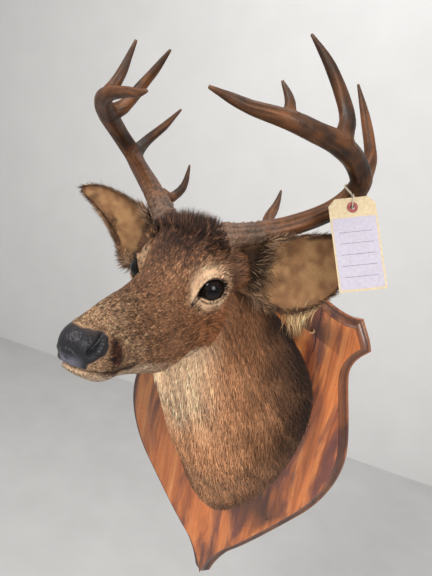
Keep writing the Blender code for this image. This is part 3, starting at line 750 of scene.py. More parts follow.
def make_skin():
    """Head, neck and ears joined into one closed skin."""
    points = capped(BODY)
    points[-2, 1] -= 0.2
    body = build("skin", in_model(points), closed_grid(len(BODY), AROUND))
    for grid in EAR_GRIDS.values():
        ear = build("ear", in_model(capped(grid)), closed_grid(EAR_ROWS, EAR_COLUMNS))
        outward(ear)
        combine(body, ear, "UNION")
    body.data.shade_smooth()
    return body


def over_all(body, ears):
    """Values of the body's grid, then of the two ears', as one list."""
    return np.concatenate([a.reshape(-1, a.shape[-1]) for a in (body, *ears.values())])


skin = make_skin()
match = nearest(over_all(BODY, EAR_GRIDS), in_head(read(skin.data.vertices, "co")))
paint(skin, over_all(coat_colour(BODY, STATION), EAR_COLOURS)[match] * 0.8)
lay_out(skin, over_all(BODY_UV, EAR_UV)[match])
bare = over_all(nose_mask(BODY)[..., None], {side: 0 * grid[..., :1] for side, grid in EAR_GRIDS.items()})
paint(skin, bare[match], "bare")

coat = Shader("coat_skin", 0.85, Specular_IOR_Level=0.25)
bare = coat.attribute("bare", "Fac")
fine = coat.ramp(coat.noise(900, 2.0), (0.25, 0.72), (0.75, 1.2))
coat.set("Base Color", coat.blend(1.0, coat.attribute("coat"), fine, "MULTIPLY"))
coat.set("Roughness", coat.ramp(bare, (0.0, 0.85), (1.0, 0.40)))
pebble = coat.node("TexVoronoi", {"Vector": coat.place(), "Scale": 420.0}, "Distance")
coat.bump(coat.blend(bare, coat.ramp(coat.noise(1200, 2.0), (0.2, 0.0), (0.8, 1.0)), pebble), 0.55, 0.0008)
finish(skin, coat, ("head", "neck", "nose", "lower_jaw", "ear_left", "ear_right"))


# ---- fur
hair = Shader("coat_hair", 0.62, Specular_IOR_Level=0.35)
hair.set("Base Color", hair.attribute("coat"))
TO_GROUND = TO_HEAD[:3, :3] @ (0, 0, -1)
INTO_BOARD = TO_HEAD[:3, :3] @ (0, 1, 0)
# faces of a straight lock and of one with a bend, from its root's three corners to its tip
STRAIGHT_LOCK = [(0, 1, 2), (0, 3, 1), (1, 3, 2), (2, 3, 0)]
BENT_LOCK = [(0, 1, 2), (0, 3, 1), (1, 3, 4), (1, 4, 2), (2, 4, 5), (2, 5, 0), (0, 5, 3), (3, 6, 4), (4, 6, 5),
             (5, 6, 3)]


def tufts(name, roots, out, lie, length, width, colour, tip_colour, uv, lift, slot="coat", bent=True):
    """Tapered locks of hair, each a closed three-sided spike along the coat, long
    ones bent back at their middle.

    roots, out and lie are the places, the skin's normals and the hair's direction;
    lift is how far a lock stands off the skin, 0 flat to 1 upright."""
    long, wide, rise = (np.asarray(a)[:, None] for a in (length, width, lift))
    lie = unit(lie - out * (lie * out).sum(1, keepdims=True))
    way = unit(lie * (1 - rise) + out * rise)
    across = unit(np.cross(out, way))
    up = np.cross(way, across)
    sway = across * RNG.normal(0, 0.12, long.shape) * long
    base = roots - out * 0.4
    ring = [base + across * wide * 0.5, base - across * wide * 0.5, base + up * wide * 0.35]
    # the three root corners are painted darker: painted shade down among the hair
    tones = [colour * 0.62] * 3
    patch = [(-1, -1), (1, -1), (0, -0.6)]
    if bent:
        middle = base + way * long * 0.5 + out * long * 0.05 + sway * 0.3
        ring += [middle + across * wide * 0.42, middle - across * wide * 0.42, middle + up * wide * 0.30]
        tones += [colour] * 3
        patch += [(-1, 0.3), (1, 0.3), (0, 0.5)]
    ring.append(base + way * long + sway - out * long * 0.10 * (1 - rise))
    shape = np.array(BENT_LOCK if bent else STRAIGHT_LOCK)[:, ::-1]
    faces = (np.arange(len(roots))[:, None, None] * len(ring) + shape).reshape(-1, 3)
    made = build(name, in_model(np.stack(ring, 1).reshape(-1, 3)), [faces])
    paint(made, np.stack(tones + [tip_colour], 1).reshape(-1, 3))
    lay_out(made, (uv[:, None, :] + np.array(patch + [(0, 1)]) * 0.0015).reshape(-1, 2))
    finish(made, hair)


def scatter(grid, count, density):
    """Random places on a grid's surface, as fractional rows and columns, in proportion
    to the area of its cells times a density; even steps keep any patch from being missed."""
    down = grid[1:] - grid[:-1]
    onward = np.roll(grid, -1, axis=1) - grid
    weight = np.linalg.norm(np.cross(down, onward[:-1]), axis=-1) * density[:-1]
    edges = np.cumsum(weight.ravel() / weight.sum())
    cell = np.searchsorted(edges, (np.arange(count) + RNG.random(count)) / count)
    row, column = np.divmod(np.minimum(cell, len(edges) - 1), grid.shape[1])
    return row + RNG.random(count), column + RNG.random(count)


def sample(grid, row, column):
    """Values of a grid at fractional rows and columns (columns wrap)."""
    i, j = np.minimum(row.astype(int), len(grid) - 2), column.astype(int)
    u, v = (row - i)[:, None], (column - j)[:, None]
    j, k = j % grid.shape[1], (j + 1) % grid.shape[1]
    return between(between(grid[i, j], grid[i + 1, j], u), between(grid[i, k], grid[i + 1, k], u), v)


def sample_uv(places, row, column):
    """Places on the UV map, kept from crossing its seam."""
    return sample(places, row, np.minimum(column, places.shape[1] - 1.001))


def body_uv(root):
    return BODY_UV.reshape(-1, 2)[nearest(BODY.reshape(-1, 3), root)]


def ticked(root, colour, amount, dark, pepper):
    """Colours of each lock's body and tip: locks lighter or darker, tips dark or straw,
    in little knots of hair that lie together."""
    knot = pepper * (noise(root, 1.5, 21) - 0.5 + 0.35 * (noise(root, 5.0, 22) - 0.5))
    knot = knot * (1 - 0.75 * step(0.22, 0.45, colour.mean(-1)))
    body = colour * np.exp(RNG.normal(0, amount, len(colour)) + 1.5 * knot)[:, None]
    straw = mix(body * 1.5, srgb(204, 160, 118), 0.24 * step(0.02, 0.14, body.mean(-1)))
    return body, np.where((RNG.random(len(colour)) < dark - 1.4 * knot)[:, None], body * 0.34, straw)


def crown_of(points):
    """1 in the long dark hair between and before the antlers."""
    p = folded(points)
    x, y, z = p.T
    top = step(14, 40, y) * step(36, 50, z) * step(52, 34, x)
    return np.maximum(top, bell(p, (46, 52, 44), (16, 16, 18)))


def grow(name, pieces, count, density, length_of, width, lift_of, amount, dark, pepper, bent):
    """The fur of the head or of the neck, in pieces from the nose's end backwards."""
    row, column = scatter(BODY, count, density)
    order = np.argsort(row)
    row, column = row[order], column[order]
    root = sample(BODY, row, column)
    out, lie = (unit(sample(a, row, column)) for a in (BODY_NORMAL, BODY_ALONG))
    station = sample(STATION[..., None], row, column)[:, 0]
    crown = crown_of(root)
    swirl = 0.7 * (noise(root, 30, 4)[:, None] - 0.5)
    ruffle = np.stack([noise(root, 6, k) for k in (31, 32, 33)], 1) - 0.5
    lie = (lie + TO_GROUND * 1.1 * step(0.0, 0.3, station)[:, None] + np.cross(out, lie) * swirl
           + (crown * (root[:, 1] > 10))[:, None] * 4.6 * ruffle)
    # where the neck meets the board its hair spreads out over the wood
    gap = -(in_model(root)[:, 1] + BOARD_THICKNESS) / MM
    lie -= INTO_BOARD * (0.92 * (lie @ INTO_BOARD) * step(48, 12, gap))[:, None]
    streak = noise(np.column_stack([row * 0.05, column * 1.3, 0 * row]), 1.6, 12) - 0.5
    colour = mix(coat_colour(root, station), DARK, 0.75 * crown * RNG.random(count))
    body, tip = ticked(root, colour * (1 + 0.9 * streak)[:, None], amount, dark + 0.3 * crown, pepper)
    length = np.minimum(length_of(root, station) * RNG.uniform(0.75, 1.2, count), gap + 18)
    # it is short and lies outwards round the eyes
    for side, (_, _, look) in EYE_FRAMES.items():
        h, _, beyond, *_ = eye_place(root, side)
        ray = root - EYES[side]
        ray = unit(ray - look * (ray @ look)[:, None])
        close = ((h > -30) & (root[:, 0] * side > 10)) * np.exp(-np.maximum(beyond, 0) / 10)
        lie = between(lie, ray * 1.3, close[:, None])
        length = length * (1 - 0.62 * close)
    lift = lift_of(root, station) * RNG.uniform(0.6, 1.5, count)
    uv = sample_uv(BODY_UV, row, column)
    for k, part in enumerate(np.array_split(np.arange(count), pieces)):
        wide = width * RNG.uniform(0.8, 1.25, count)
        tufts(f"{name}_{k + 1}", *(a[part] for a in (root, out, lie, length, wide, body, tip, uv, lift)), bent=bent)


def face_density():
    """No hair on the nose, in the eyes and tear ducts or past the head, and little in the mouth."""
    yz = folded(BODY)[..., 1:]
    density = (1 - nose_mask(BODY)) * (1 + 1.4 * step(-60, -120, yz[..., 0]))
    density[HEAD_ROWS + 8:] = 0
    for side in SIDES:
        h, _, out, _, duct, _ = eye_place(BODY, side)
        near = (h > -30) & (BODY[..., 0] * side > 10)
        density = np.where(near & ((out < 1.0) | (duct < 3.6)), 0, density)
    return density * np.where(line_distance(yz, MOUTH)[0] < 1.5, 0.4, 1.0)


def neck_density():
    density = np.zeros(BODY.shape[:2])
    density[HEAD_ROWS - 14:HEAD_ROWS] = 0.8
    density[HEAD_ROWS:-2] = 1.0
    return density


def ear_normals(grid):
    """The ways outwards and along, whichever way round the grid runs."""
    out, along = grid_normals(grid)
    return out * np.sign(((grid - grid.reshape(-1, 3).mean(0)) * out).sum()), along


def grow_ear(side, name, count=12000):
    grid = EAR_GRIDS[side]
    density = (1 + 4.0 * step(0.8, 1.0, EAR_TURN)) * step(0.10, 0.2, EAR_SHARE)
    density[:, :HALF] *= 0.55 + 0.6 * step(0.5, 0.2, EAR_SHARE)
    row, column = scatter(grid, count, density)
    by_edge = np.broadcast_to(step(0.78, 1.0, EAR_TURN)[..., None], (*density.shape, 1))
    across = np.roll(grid, -1, 1) - np.roll(grid, 1, 1)
    root, out, lie, across, colour, edge = (
        sample(a, row, column) for a in (grid, *ear_normals(grid), across, EAR_COLOURS[side], by_edge))
    edge = edge[:, 0]
    # inside the cup the hair crosses towards the edges
    within = column % EAR_COLUMNS < HALF + 0.5
    sign = np.where(column % EAR_COLUMNS < HALF / 2, -1.0, 1.0)
    lie = unit(lie) + unit(across) * (sign * within * 0.5)[:, None]
    near_root = step(0.42, 0.12, row / EAR_ROWS)
    length = 6.0 + 6.0 * edge + 13.0 * near_root - 1.0 * within
    lift = 0.08 + 0.26 * edge * within + 0.20 * near_root
    colour = mix(colour, PALE, 0.5 * near_root * within * (RNG.random(count) < 0.35))
    colours = ticked(root, colour, 0.26, 0.40, 0.35)
    tufts(f"ear_fur_{name}", root, unit(out), lie, length * RNG.uniform(0.6, 1.3, count),
          0.85 * RNG.uniform(0.7, 1.3, count), *colours, sample_uv(EAR_UV[side], row, column),
          lift * RNG.uniform(0.5, 1.6, count), "ear", bent=False)


def hang_tuft(side, name, count=320, bunches=7):
    """The pale lock that hangs from the lower edge of an ear near its root."""
    long, place = (38, 0.49) if side > 0 else (14, 0.30)
    row = EAR_ROWS * RNG.normal(place, 0.045, count)
    column = HALF + RNG.normal(0, 2.2, count)
    root, along = (sample(a, row, column) for a in (EAR_GRIDS[side], ear_normals(EAR_GRIDS[side])[1]))
    fall = unit(TO_HEAD[:3, :3] @ (0.12 * side, -0.05, -1))
    bunch = RNG.integers(0, bunches, count)
    meet = root.mean(0) + fall * long * 1.15 + RNG.normal(0, 1, (bunches, 3))[bunch] * (4.5, 3.0, 3.0)
    lie = unit(meet - root) + 0.10 * RNG.normal(0, 1, (count, 3))
    colours = ticked(root, mix(srgb(222, 190, 142), srgb(140, 104, 68), RNG.random(count) ** 2), 0.25, 0.25, 0.6)
    tufts(f"ear_lock_{name}", root, unit(np.cross(lie, along)), lie, long * RNG.uniform(0.4, 1.1, count),
          RNG.uniform(0.8, 1.4, count), *colours, sample_uv(EAR_UV[side], row, column), np.full(count, 0.02), "ear")


def lashes(side, name, count=90):
    front, up, look = EYE_FRAMES[side]
    angle = RNG.uniform(0.25, 2.75, count)
    reach = eye_opening(angle) + 0.6
    ray = np.outer(np.cos(angle - EYE_TILT), front) + np.outer(np.sin(angle - EYE_TILT), up)
    root = EYES[side] + ray * reach[:, None] + np.outer(ball_height(np.minimum(reach, 15.6)) + 1.0, look)
    lie = ray * 0.9 + look * 0.75 + RNG.normal(0, 0.12, (count, 3)) - up * 0.15
    ink = np.tile(srgb(26, 19, 16), (count, 1))
    tufts(f"lashes_{name}", root, unit(look - ray * 0.8), lie, 8.5 * RNG.uniform(0.6, 1.2, count),
          np.full(count, 0.55), ink, ink, body_uv(root), np.full(count, 0.35))


def root_hair(side, name, count=900):
    """Dark hair that stands round the root of an antler and hides its foot."""
    line = spline(ANTLERS[side]["beam"], 8)[:, :3] * (side, 1, 1)
    way = unit(line[9] - line[3])
    across = unit(np.cross(way, (0, 0, 1)))
    turn = RNG.uniform(0, 2 * np.pi, count)[:, None]
    ray = np.cos(turn) * across + np.sin(turn) * np.cross(way, across)
    root = line[4] + way * RNG.uniform(-3, 4, (count, 1)) + ray * RNG.uniform(11, 15.5, (count, 1))
    lie = way + 0.75 * ray + RNG.normal(0, 0.28, (count, 3))
    colours = ticked(root, mix(FOREHEAD, DARK, RNG.random(count)), 0.25, 0.6, 0.8)
    tufts(f"antler_root_hair_{name}", root, ray, lie, RNG.uniform(10, 19, count), RNG.uniform(0.8, 1.4, count),
          *colours, body_uv(root), np.full(count, 0.1))


def face_length(p, _):
    return np.interp(p[:, 1], [-180, -140, -60, 0, 60], [3.0, 4.2, 6.0, 7.5, 11.0]) + 13 * crown_of(p)


def face_lift(p, _):
    return np.interp(p[:, 1], [-180, -60, 60], [0.20, 0.15, 0.15]) + 0.6 * crown_of(p)


grow("face_fur", 3, 130000, face_density(), face_length, 0.85, face_lift, 0.32, 0.5, 1.9, bent=False)
grow("neck_fur", 4, 68000, neck_density(), lambda p, s: 15 + 19 * step(0.0, 0.4, s), 1.4,
     lambda p, s: 0.08 + 0.03 * s, 0.17, 0.26, 0.25, bent=True)
for side, name in SIDES.items():
    for make in (grow_ear, hang_tuft, lashes, root_hair):
        make(side, name)


# ---- tubes
def tube(points, radii, sides):
    """A closed round tube along points, kept from twisting: its points and faces."""
    points = np.asarray(points, float)
    ways = unit(np.gradient(points, axis=0))
    across = np.cross(ways[0], (0.31, 0.22, 0.9))
    turn = np.arange(sides)[:, None] * 2 * np.pi / sides
    rings = []
    for point, way, radius in zip(points, ways, radii):
        across = unit(across - way * across.dot(way))
        rings.append(point + radius * (np.cos(turn) * across + np.sin(turn) * np.cross(way, across)))
    return np.concatenate(rings + [points[:1], points[-1:]]), closed_grid(len(points), sides)


def join_tubes(tubes):
    """Points and faces of several tubes as one, all their sides before their ends."""
    quads, ends, start = [], [], 0
    for points, (sides, *caps) in tubes:
        quads.append(sides + start)
        ends += [cap + start for cap in caps]
        start += len(points)
    return np.concatenate([points for points, _ in tubes]), [np.concatenate(quads), np.concatenate(ends)]


# ---- antlers
def make_antler(side, name):
    lines, tubes = [], []
    for label, rows in ANTLERS[side].items():
        line = spline(rows, 8) * (side, 1, 1, 1)
        run = run_along(line[:, :3])
        foot = lines[0][nearest(lines[0][:, :3], line[:1, :3])[0], 4] if lines else 0
        lines.append(np.column_stack([line, foot + run, run[-1] - run, np.full(len(line), label != "beam")]))
        if label == "beam":
            line[:, 3] += 2.2 * hump(run - 25, 4.0)
        else:
            line[:4, 3] *= (1.18, 1.12, 1.06, 1.02)
        tubes.append(tube(line[:, :3], line[:, 3] * 0.985, 16))
    points, faces = join_tubes(tubes)
    obj = build("antler_" + name, in_model(points), faces)
    outward(obj)
    modify(obj, "REMESH", mode="VOXEL", voxel_size=0.00125)
    modify(obj, "SMOOTH", factor=0.5, iterations=4)
    bake(obj)
    obj.data.shade_smooth()
    p = in_head(read(obj.data.vertices, "co"))
    out = read(obj.data.vertex_normals, "vector") @ TO_MODEL[:3, :3]
    line = np.concatenate(lines)
    match = nearest(line[:, :3], p)
    radius, run, left, tine = line[match, 3:].T
    # coordinates on the surface: round the beam, and slowly along it
    way = unit(np.concatenate([np.gradient(l[:, :3], axis=0) for l in lines]))[match]
    ray = p - line[match, :3]
    ray = unit(ray - way * (ray * way).sum(1, keepdims=True))
    grooves = noise(ray * radius[:, None] * 1.2 + run[:, None] * 0.05 * way, 3.2, 2)
    lift = (grooves - 0.5) * (1.0 + 1.5 * np.exp(-run / 120)) * step(2, 30, left)
    lift += noise(p, 4.2, 5) ** 2 * noise(p, 2.3, 6) * 5.0 * hump(run - 40, 55)
    lift += (noise(p, 3.4, 8) - 0.2) * 2.4 * hump(run - 25, 4.0)
    obj.data.vertices.foreach_set("co", in_model(p + out * lift[:, None]).astype(np.float32).ravel())
    obj.data.update()
    # grey-brown and rough by the head, polished orange-brown out on the beam, dark in
    # the grooves, pale where the tips are worn
    tone = overlay(
        srgb(112, 68, 34),
        (srgb(44, 27, 16), step(0.22, 0.82, 0.7 * noise(p, 28, 3) + 0.3 * noise(p, 9, 13))),
        (srgb(92, 74, 62), 0.85 * hump(run - 20, 60)),
        (srgb(60, 41, 29), 0.55 * step(60, 10, left) * tine),
        (srgb(128, 96, 66), 0.55 * step(9, 1, left)))
    worn = (0.36 + step(-0.7, 0.9, lift)) * (0.85 + 0.3 * noise(p, 1.6, 9))
    paint(obj, tone * worn[:, None], "tone")
    finish(obj, antler_skin, [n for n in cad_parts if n.startswith("antler_" + name)])


antler_skin = Shader("antler", 0.42, Specular_IOR_Level=0.35)
antler_skin.set("Base Color", antler_skin.blend(
    1.0, antler_skin.attribute("tone"),
    antler_skin.ramp(antler_skin.noise(520, 4.0), (0.3, 0.8), (0.7, 1.18)), "MULTIPLY"))
antler_skin.set("Roughness", antler_skin.ramp(antler_skin.noise(160, 3.0), (0.3, 0.34), (0.7, 0.58)))
antler_skin.bump(antler_skin.noise(700, 3.0), 0.35, 0.0006)
for side, name in SIDES.items():
    make_antler(side, name)


# ---- eyes
glass = Shader("glass_eye", 0.03, Specular_IOR_Level=0.22)
glass.set("Base Color", glass.attribute("tone"))


def make_eye(side, name, rows=72, columns=96):
    """A glass ball with a little bulge in front, a streaked iris and a wide level pupil."""
    polar = np.linspace(0, np.pi, rows)[:, None]
    turn = np.arange(columns) * 2 * np.pi / columns
    ball = np.stack(np.broadcast_arrays(np.sin(polar) * np.cos(turn), np.sin(polar) * np.sin(turn), np.cos(polar)), -1)
    local = ball * (1 + 0.02 * hump(polar, 0.5))[..., None] * EYE_RADIUS * 0.985
    points = EYES[side] + local @ np.array(EYE_FRAMES[side])
    obj = build("glass_eye_" + name, in_model(points.reshape(-1, 3)), [grid_faces(rows, columns)])
    outward(obj)
    flat = local[..., :2]
    iris = np.hypot(*np.moveaxis(flat, -1, 0))
    streaks = noise(np.concatenate([unit(flat) * 9, iris[..., None]], -1), 1.2, 3)
    tone = overlay(
        srgb(30, 19, 15),
        (srgb(15, 12, 13), step(0.3, 0.7, streaks)),
        (srgb(6, 6, 9), step(1.15, 0.95, np.hypot(flat[..., 0] / 7.2, flat[..., 1] / 4.4))),
        (srgb(10, 8, 8), step(11.2, 12.4, iris)))
    paint(obj, tone.reshape(-1, 3), "tone")
    finish(obj, glass, ("eye_" + name,))


for side, name in SIDES.items():
    make_eye(side, name)


# ---- plaque
# one half of the board's outline as (x, z) knots from its top to its point, each with
# the handle before it and the handle after it
BOARD_KNOTS = [
    ((0.000, 0.306), None, (0.040, 0.306)),
    ((0.096, 0.284), (0.074, 0.300), (0.106, 0.272)),
    ((0.172, 0.2520), (0.150, 0.2490), (0.176, 0.244)),
    ((0.187, 0.2225), (0.184, 0.232), (0.172, 0.208)),
    ((0.1650, 0.170), (0.1635, 0.190), (0.1665, 0.146)),
    ((0.1925, 0.026), (0.192, 0.068), (0.1925, -0.020)),
    ((0.146, -0.098), (0.170, -0.066), (0.119, -0.132)),
    ((0.040, -0.224), (0.066, -0.200), (0.018, -0.246)),
    ((0.000, -0.300), (0.004, -0.282), None),
]
# the moulding of its edge from the face to the back: shares of its width inwards, and depths
MOULDING_WIDTH = 0.015
MOULDING = np.array([
    (-0.10, 0.0), (0.00, 0.0001), (0.015, 0.0012), (0.03, 0.0030), (0.08, 0.0052), (0.14, 0.0068), (0.26, 0.0088),
    (0.40, 0.0102), (0.55, 0.0111), (0.68, 0.0115), (0.70, 0.0128), (0.72, 0.0135), (0.82, 0.0140),
    (0.92, 0.0152), (0.98, 0.0168), (1.00, 0.0185), (0.98, 0.0205), (0.94, 0.022)])
HOLES = [(0.107, 0.233, 0.0036, 0.008), (0.104, -0.128, 0.0014, 0.006), (-0.107, 0.233, 0.0026, 0.008)]


def board_outline(dense=14):
    half = []
    for (start, _, out), (end, into, _) in zip(BOARD_KNOTS[:-1], BOARD_KNOTS[1:]):
        a, b, c, d = (np.array(p) for p in (start, out, into, end))
        for t in np.arange(dense) / dense:
            half.append((1 - t) ** 3 * a + 3 * (1 - t) ** 2 * t * b + 3 * (1 - t) * t * t * c + t ** 3 * d)
    half = np.array(half + [BOARD_KNOTS[-1][0]])
    return np.concatenate([half, half[1:-1][::-1] * (-1, 1)])


def offset_outline(outline, distance):
    before, after = unit(outline - np.roll(outline, 1, axis=0)), unit(np.roll(outline, -1, axis=0) - outline)
    middle = (before + after)[:, ::-1] * (-1, 1)
    return outline + middle * (2 / np.maximum((middle ** 2).sum(1), 1.6))[:, None] * distance


def make_plaque():
    outline = board_outline()
    n = len(outline)
    points = np.concatenate([np.insert(offset_outline(outline, share * MOULDING_WIDTH), 1, depth - BOARD_THICKNESS, 1)
                             for share, depth in MOULDING])
    obj = build("shield_plaque", points, prism_faces(len(MOULDING), n), smooth=False)
    outward(obj)
    shade = np.interp(MOULDING[:, 0], [-0.1, 0.0, 0.03, 0.4, 0.68, 0.72, 0.95, 1.0],
                      [0, 0.1, 0.75, 0.9, 1.0, 1.0, 0.5, 0.8])
    paint(obj, np.repeat(shade, n)[:, None], "edge")
    for x, z, radius, depth in HOLES:
        work = bmesh.new()
        bmesh.ops.create_cone(
            work, cap_ends=True, segments=24, radius1=radius, radius2=radius, depth=2 * depth,
            matrix=Matrix.Translation((x, -BOARD_THICKNESS, z)) @ Matrix.Rotation(math.pi / 2, 4, "X"))
        drill = bpy.data.meshes.new("drill")
        work.to_mesh(drill)
        work.free()
        combine(obj, add("drill", drill), "DIFFERENCE")
    finish(obj, wood, ("plaque",))


wood = Shader("varnished_wood", 0.3, Specular_IOR_Level=0.5, Coat_Weight=0.55, Coat_Roughness=0.18)
figure = wood.noise(26, 5.0, 0.6, wood.place((1, 1, 0.10)), 1.6)
streak = wood.noise(13, 4.0, 0.62, wood.place((1, 1, 0.22)), 2.4)
fibre = wood.noise(420, 3.0, 0.6, wood.place((1, 1, 0.03)))
base = wood.ramp(figure, (0.30, 148, 76, 38), (0.5, 212, 122, 64), (0.72, 238, 160, 96))
base = wood.blend(wood.ramp(streak, (0.46, 0.0), (0.60, 0.85)), base, srgb(96, 54, 52))
base = wood.blend(0.55, base, wood.ramp(fibre, (0.3, 0.62), (0.7, 1.25)), "MULTIPLY")
base = wood.blend(wood.math("MULTIPLY", wood.attribute("edge", "Fac"), 0.88), base, srgb(60, 34, 22))
# a drying crack beside the nail hole
across, up = (wood.node("SeparateXYZ", {0: wood.place()}, k) for k in (0, 2))
wander = wood.math("MULTIPLY", wood.noise(30, 2.0, 0.5, wood.place((0, 0, 1))), 12.0)
strayed = wood.math("ABSOLUTE", wood.math("ADD", wood.math("MULTIPLY_ADD", across, 1000.0, -122.5), wander))
crack = wood.math("MULTIPLY", wood.ramp(strayed, (0.5, 1.0), (0.95, 0.0)),
                  wood.ramp(up, (0.18, 0.0), (0.20, 1.0), (0.272, 1.0), (0.278, 0.0)))
# darker on one side, as painted shade, and darker towards the point
for way, *stops in ((across, (0.33, 0.50), (0.47, 1.0)), (up, (0.22, 0.72), (0.42, 1.0))):
    base = wood.blend(1.0, base, wood.ramp(wood.math("ADD", way, 0.5), *stops), "MULTIPLY")
base = wood.blend(crack, base, srgb(34, 18, 12))
# the pale chipped rim of the nail hole, and painted shade that darkens its inside
for centre, reach, share, tint in (((10.86, -2.2, 23.12), 0.50, 0.75, srgb(214, 164, 118)),
                                   ((10.7, -2.2, 23.3), 0.40, 1.0, srgb(18, 11, 8))):
    away = wood.node("VectorMath", {0: wood.place((100, 100, 100)), 1: centre}, 1, operation="DISTANCE")
    base = wood.blend(wood.ramp(away, (reach - 0.06, share), (reach, 0.0)), base, tint)
wood.set("Base Color", base)
wood.set("Roughness", wood.ramp(wood.noise(60, 3.0), (0.3, 0.22), (0.7, 0.42)))
wood.bump(fibre, 0.15, 0.0004)
make_plaque()


# ---- tag and string
TAG_EYELET = Vector((0.1358, -0.1642, 0.4311))
TAG_ACROSS = Vector((0.898, 0.350, 0.267))
TAG_UP = Vector((-0.349, 0.198, 0.916))
STRING_RADIUS, KNOT_RADIUS, GAP = 0.0006, 0.0019, 0.0003
# millimetres across, behind and above the eyelet
STRING_ROUTE = [(7.4, 17.6, 20.8), (7.2, 15.2, 20.4), (6.9, 12.4, 19.8), (6.5, 9.6, 19.0), (5.9, 6.8, 18.1),
                (5.1, 4.2, 17.0), (4.2, 1.8, 15.7), (3.3, -0.3, 14.1), (2.5, -1.7, 12.0), (1.8, -2.2, 9.8),
                (1.2, -2.5, 7.4), (0.7, -2.8, 5.1), (0.3, -2.6, 3.0), (0.1, -1.9, 1.3), (0.0, -0.6, 0.2),
                (0.0, 1.0, -0.5), (0.1, 2.8, -0.9), (0.2, 4.6, -1.2)]
TIE = 19                         # row of the beam's line where the string is tied
tag_up = (TAG_UP - TAG_ACROSS * (TAG_UP.dot(TAG_ACROSS) / TAG_ACROSS.length_squared)).normalized()
tag_across = TAG_ACROSS.normalized()
hang = Matrix.Translation(TAG_EYELET) @ Matrix((tag_across, tag_up.cross(tag_across), tag_up)).transposed().to_4x4()

beam = spline(ANTLERS[1]["beam"], 4)
tie_radius = beam[TIE, 3] * MM
before, tie_centre, after = (Vector(p) for p in in_model(beam[TIE - 1:TIE + 2, :3]))
tie_way = (after - before).normalized()
route = [hang @ (Vector(p) * MM) for p in STRING_ROUTE]
towards = route[0] - tie_centre
towards = (towards - tie_way * towards.dot(tie_way)).normalized()
round_beam = tie_radius + STRING_RADIUS + 2 * GAP
start = tie_centre + towards * (round_beam + KNOT_RADIUS * 1.5)
route[0] = start + (route[0] - start).normalized() * GAP

line = bpy.data.curves.new("hanging_string", "CURVE")
line.dimensions = "3D"
line.bevel_depth = STRING_RADIUS
line.bevel_resolution = 3
line.use_fill_caps = True
strand = line.splines.new("POLY")
strand.points.add(len(route) - 1)
for knot, point in zip(strand.points, route):
    knot.co = (*point, 1.0)
string = add("hanging_string", line)

cotton = Shader("tag_string", 0.85, Specular_IOR_Level=0.3)
twist = cotton.node("TexWave", {"Vector": cotton.place(), "Scale": 900.0, "Distortion": 2.0}, wave_type="BANDS",
                    bands_direction="DIAGONAL")
cotton.set("Base Color", cotton.ramp(twist, (0.0, 168, 152, 130), (1.0, 226, 216, 198)))
cotton.bump(twist, 0.4, 0.0003)
finish(string, cotton, ("tag_string",))


def coil(name, points, nodes=()):
    made = build(name, *tube(points, np.full(len(points), STRING_RADIUS), 10))
    outward(made)
    return finish(made, cotton, nodes)


def knot_line(place, axis, size):
    """A small overhand knot's centre line."""
    t = np.linspace(0, 2 * np.pi, 60, endpoint=False)
    local = np.column_stack([np.sin(t) + 2 * np.sin(2 * t), np.cos(t) - 2 * np.cos(2 * t), -np.sin(3 * t)]) / 3
    return np.array(place) + local * size @ np.array(axis.to_track_quat("Z", "Y").to_matrix()).T


side_way = tie_way.cross(towards).normalized()
coil("string_tie", [tie_centre + (towards * math.cos(t) + side_way * math.sin(t)) * (tie_radius + 0.0015)
                    + tie_way * 0.0013 * (t / (2 * math.pi) - 1) for t in np.linspace(0, 4 * np.pi, 97)[:-1]],
     ("tag_tie",))
last = (route[-1] - route[-2]).normalized()
end_knot = coil("string_end_knot", knot_line(route[-1] + last * (KNOT_RADIUS + GAP), last, 0.0014), ("string_knot",))
coil("string_tie_knot", knot_line(tie_centre + towards * (round_beam + KNOT_RADIUS / 2), towards, 0.0015))


def mottled(name, roughness, specular, scale, detail, *stops):
    """A material whose colour wanders between the stops of a ramp."""
    made = Shader(name, roughness, Specular_IOR_Level=specular)
    made.set("Base Color", made.ramp(made.noise(scale, detail), *stops))
    return made


card = mottled("manila_card", 0.75, 0.25, 240, 5.0, (0.3, 186, 168, 134), (0.7, 204, 188, 158))
card.bump(card.noise(900, 2.0), 0.15, 0.0003)
dress(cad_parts["tag"], card)
dress(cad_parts["tag_eyelet"],
      mottled("eyelet_fibre", 0.6, 0.3, 500, 3.0, (0.3, 128, 60, 58), (0.7, 158, 86, 82)))


def on_tag(name, low, high, thickness, lift, made, corner=0.0):
    """A thin flat piece on the tag's face, from low to high (across, up; metres)."""
    (x0, z0), (x1, z1) = low, high
    outline = [(x0, z0), (x1, z0), (x1, z1), (x0, z1)]
    if corner:
        middle = np.add(low, high) / 2
        outline = [(x - corner * np.sign(x - middle[0]) + corner * math.cos(a),
                    z - corner * np.sign(z - middle[1]) + corner * math.sin(a))
                   for (x, z), start in zip(outline, (180, 270, 0, 90))
                   for a in np.radians(start + np.arange(6) * 18)]
    points = [hang @ Vector((x, -y, z)) for y in (lift, lift + thickness) for x, z in outline]
    obj = build(name, points, prism_faces(2, len(outline)), smooth=False)
    outward(obj)
    finish(obj, made)


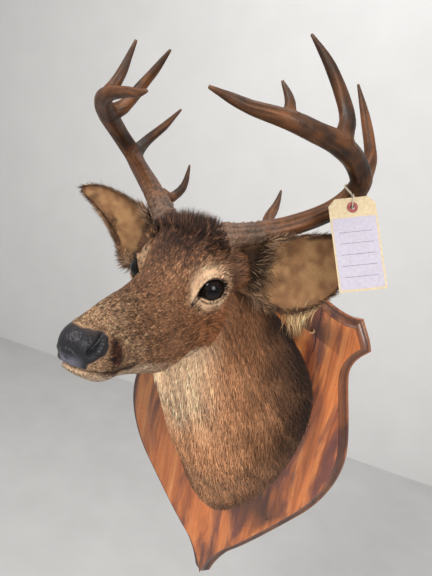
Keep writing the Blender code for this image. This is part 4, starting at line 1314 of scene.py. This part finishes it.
paper = mottled("label_paper", 0.55, 0.35, 300, 3.0, (0.3, 168, 163, 176), (0.7, 180, 175, 188))
ink = mottled("printed_rule", 0.6, 0.3, 400, 2.0, (0.3, 96, 98, 110), (0.7, 130, 132, 142))
on_tag("label", (-0.0262, -0.0985), (0.0262, -0.0120), 0.00012, 0.0004, paper, 0.0015)
for k in range(5):
    on_tag(f"rule_{k + 1}", (-0.020, -0.030 - 0.0135 * k), (0.020, -0.0294 - 0.0135 * k), 0.00005, 0.00052, ink)

length = sum((b - a).length for a, b in zip(route[:-1], route[1:]))


# ---- stage and light
ROOM, FLOOR, WALL, CEILING = 5, -0.9, 1.7, 4
for name, corners, made in (
        ("floor", [(-ROOM, -ROOM, FLOOR), (ROOM, -ROOM, FLOOR), (ROOM, ROOM, FLOOR), (-ROOM, ROOM, FLOOR)],
         mottled("pale_floor", 0.8, 0.5, 6, 2.0, (0.3, 0.52), (0.7, 0.56))),
        ("backdrop", [(-ROOM, WALL, FLOOR), (ROOM, WALL, FLOOR), (ROOM, WALL, CEILING), (-ROOM, WALL, CEILING)],
         mottled("pale_wall", 0.85, 0.5, 5, 2.0, (0.3, 0.66), (0.7, 0.69)))):
    obj = build(name, corners, [[[0, 1, 2, 3]]], smooth=False)
    dress(obj, made)

for name, place, target, size, power, colour in (
        ("key", (-0.9, -1.9, 1.9), (0, -0.15, 0.2), 1.2, 50, (1.0, 0.97, 0.93)),
        ("fill", (1.6, -1.8, 1.0), (0, -0.1, 0.1), 1.4, 42, (1.0, 0.98, 0.95)),
        ("backdrop_light", (0.0, 0.5, 2.4), (0, 1.7, 0.4), 1.5, 14, (1, 1, 1))):
    lamp = bpy.data.lights.new(name, "AREA")
    lamp.shape = "DISK"
    lamp.size, lamp.energy, lamp.color = size, power, colour
    obj = add(name, lamp)
    obj.location = place
    obj.rotation_euler = (Vector(target) - Vector(place)).to_track_quat("-Z", "Y").to_euler()

world = bpy.data.worlds.new("studio")
world.use_nodes = True
sky = world.node_tree.nodes["Background"].inputs
sky["Color"].default_value = (1.0, 0.98, 0.96, 1)
sky["Strength"].default_value = 0.5
bpy.context.scene.world = world
bpy.context.scene.view_settings.view_transform = "Standard"
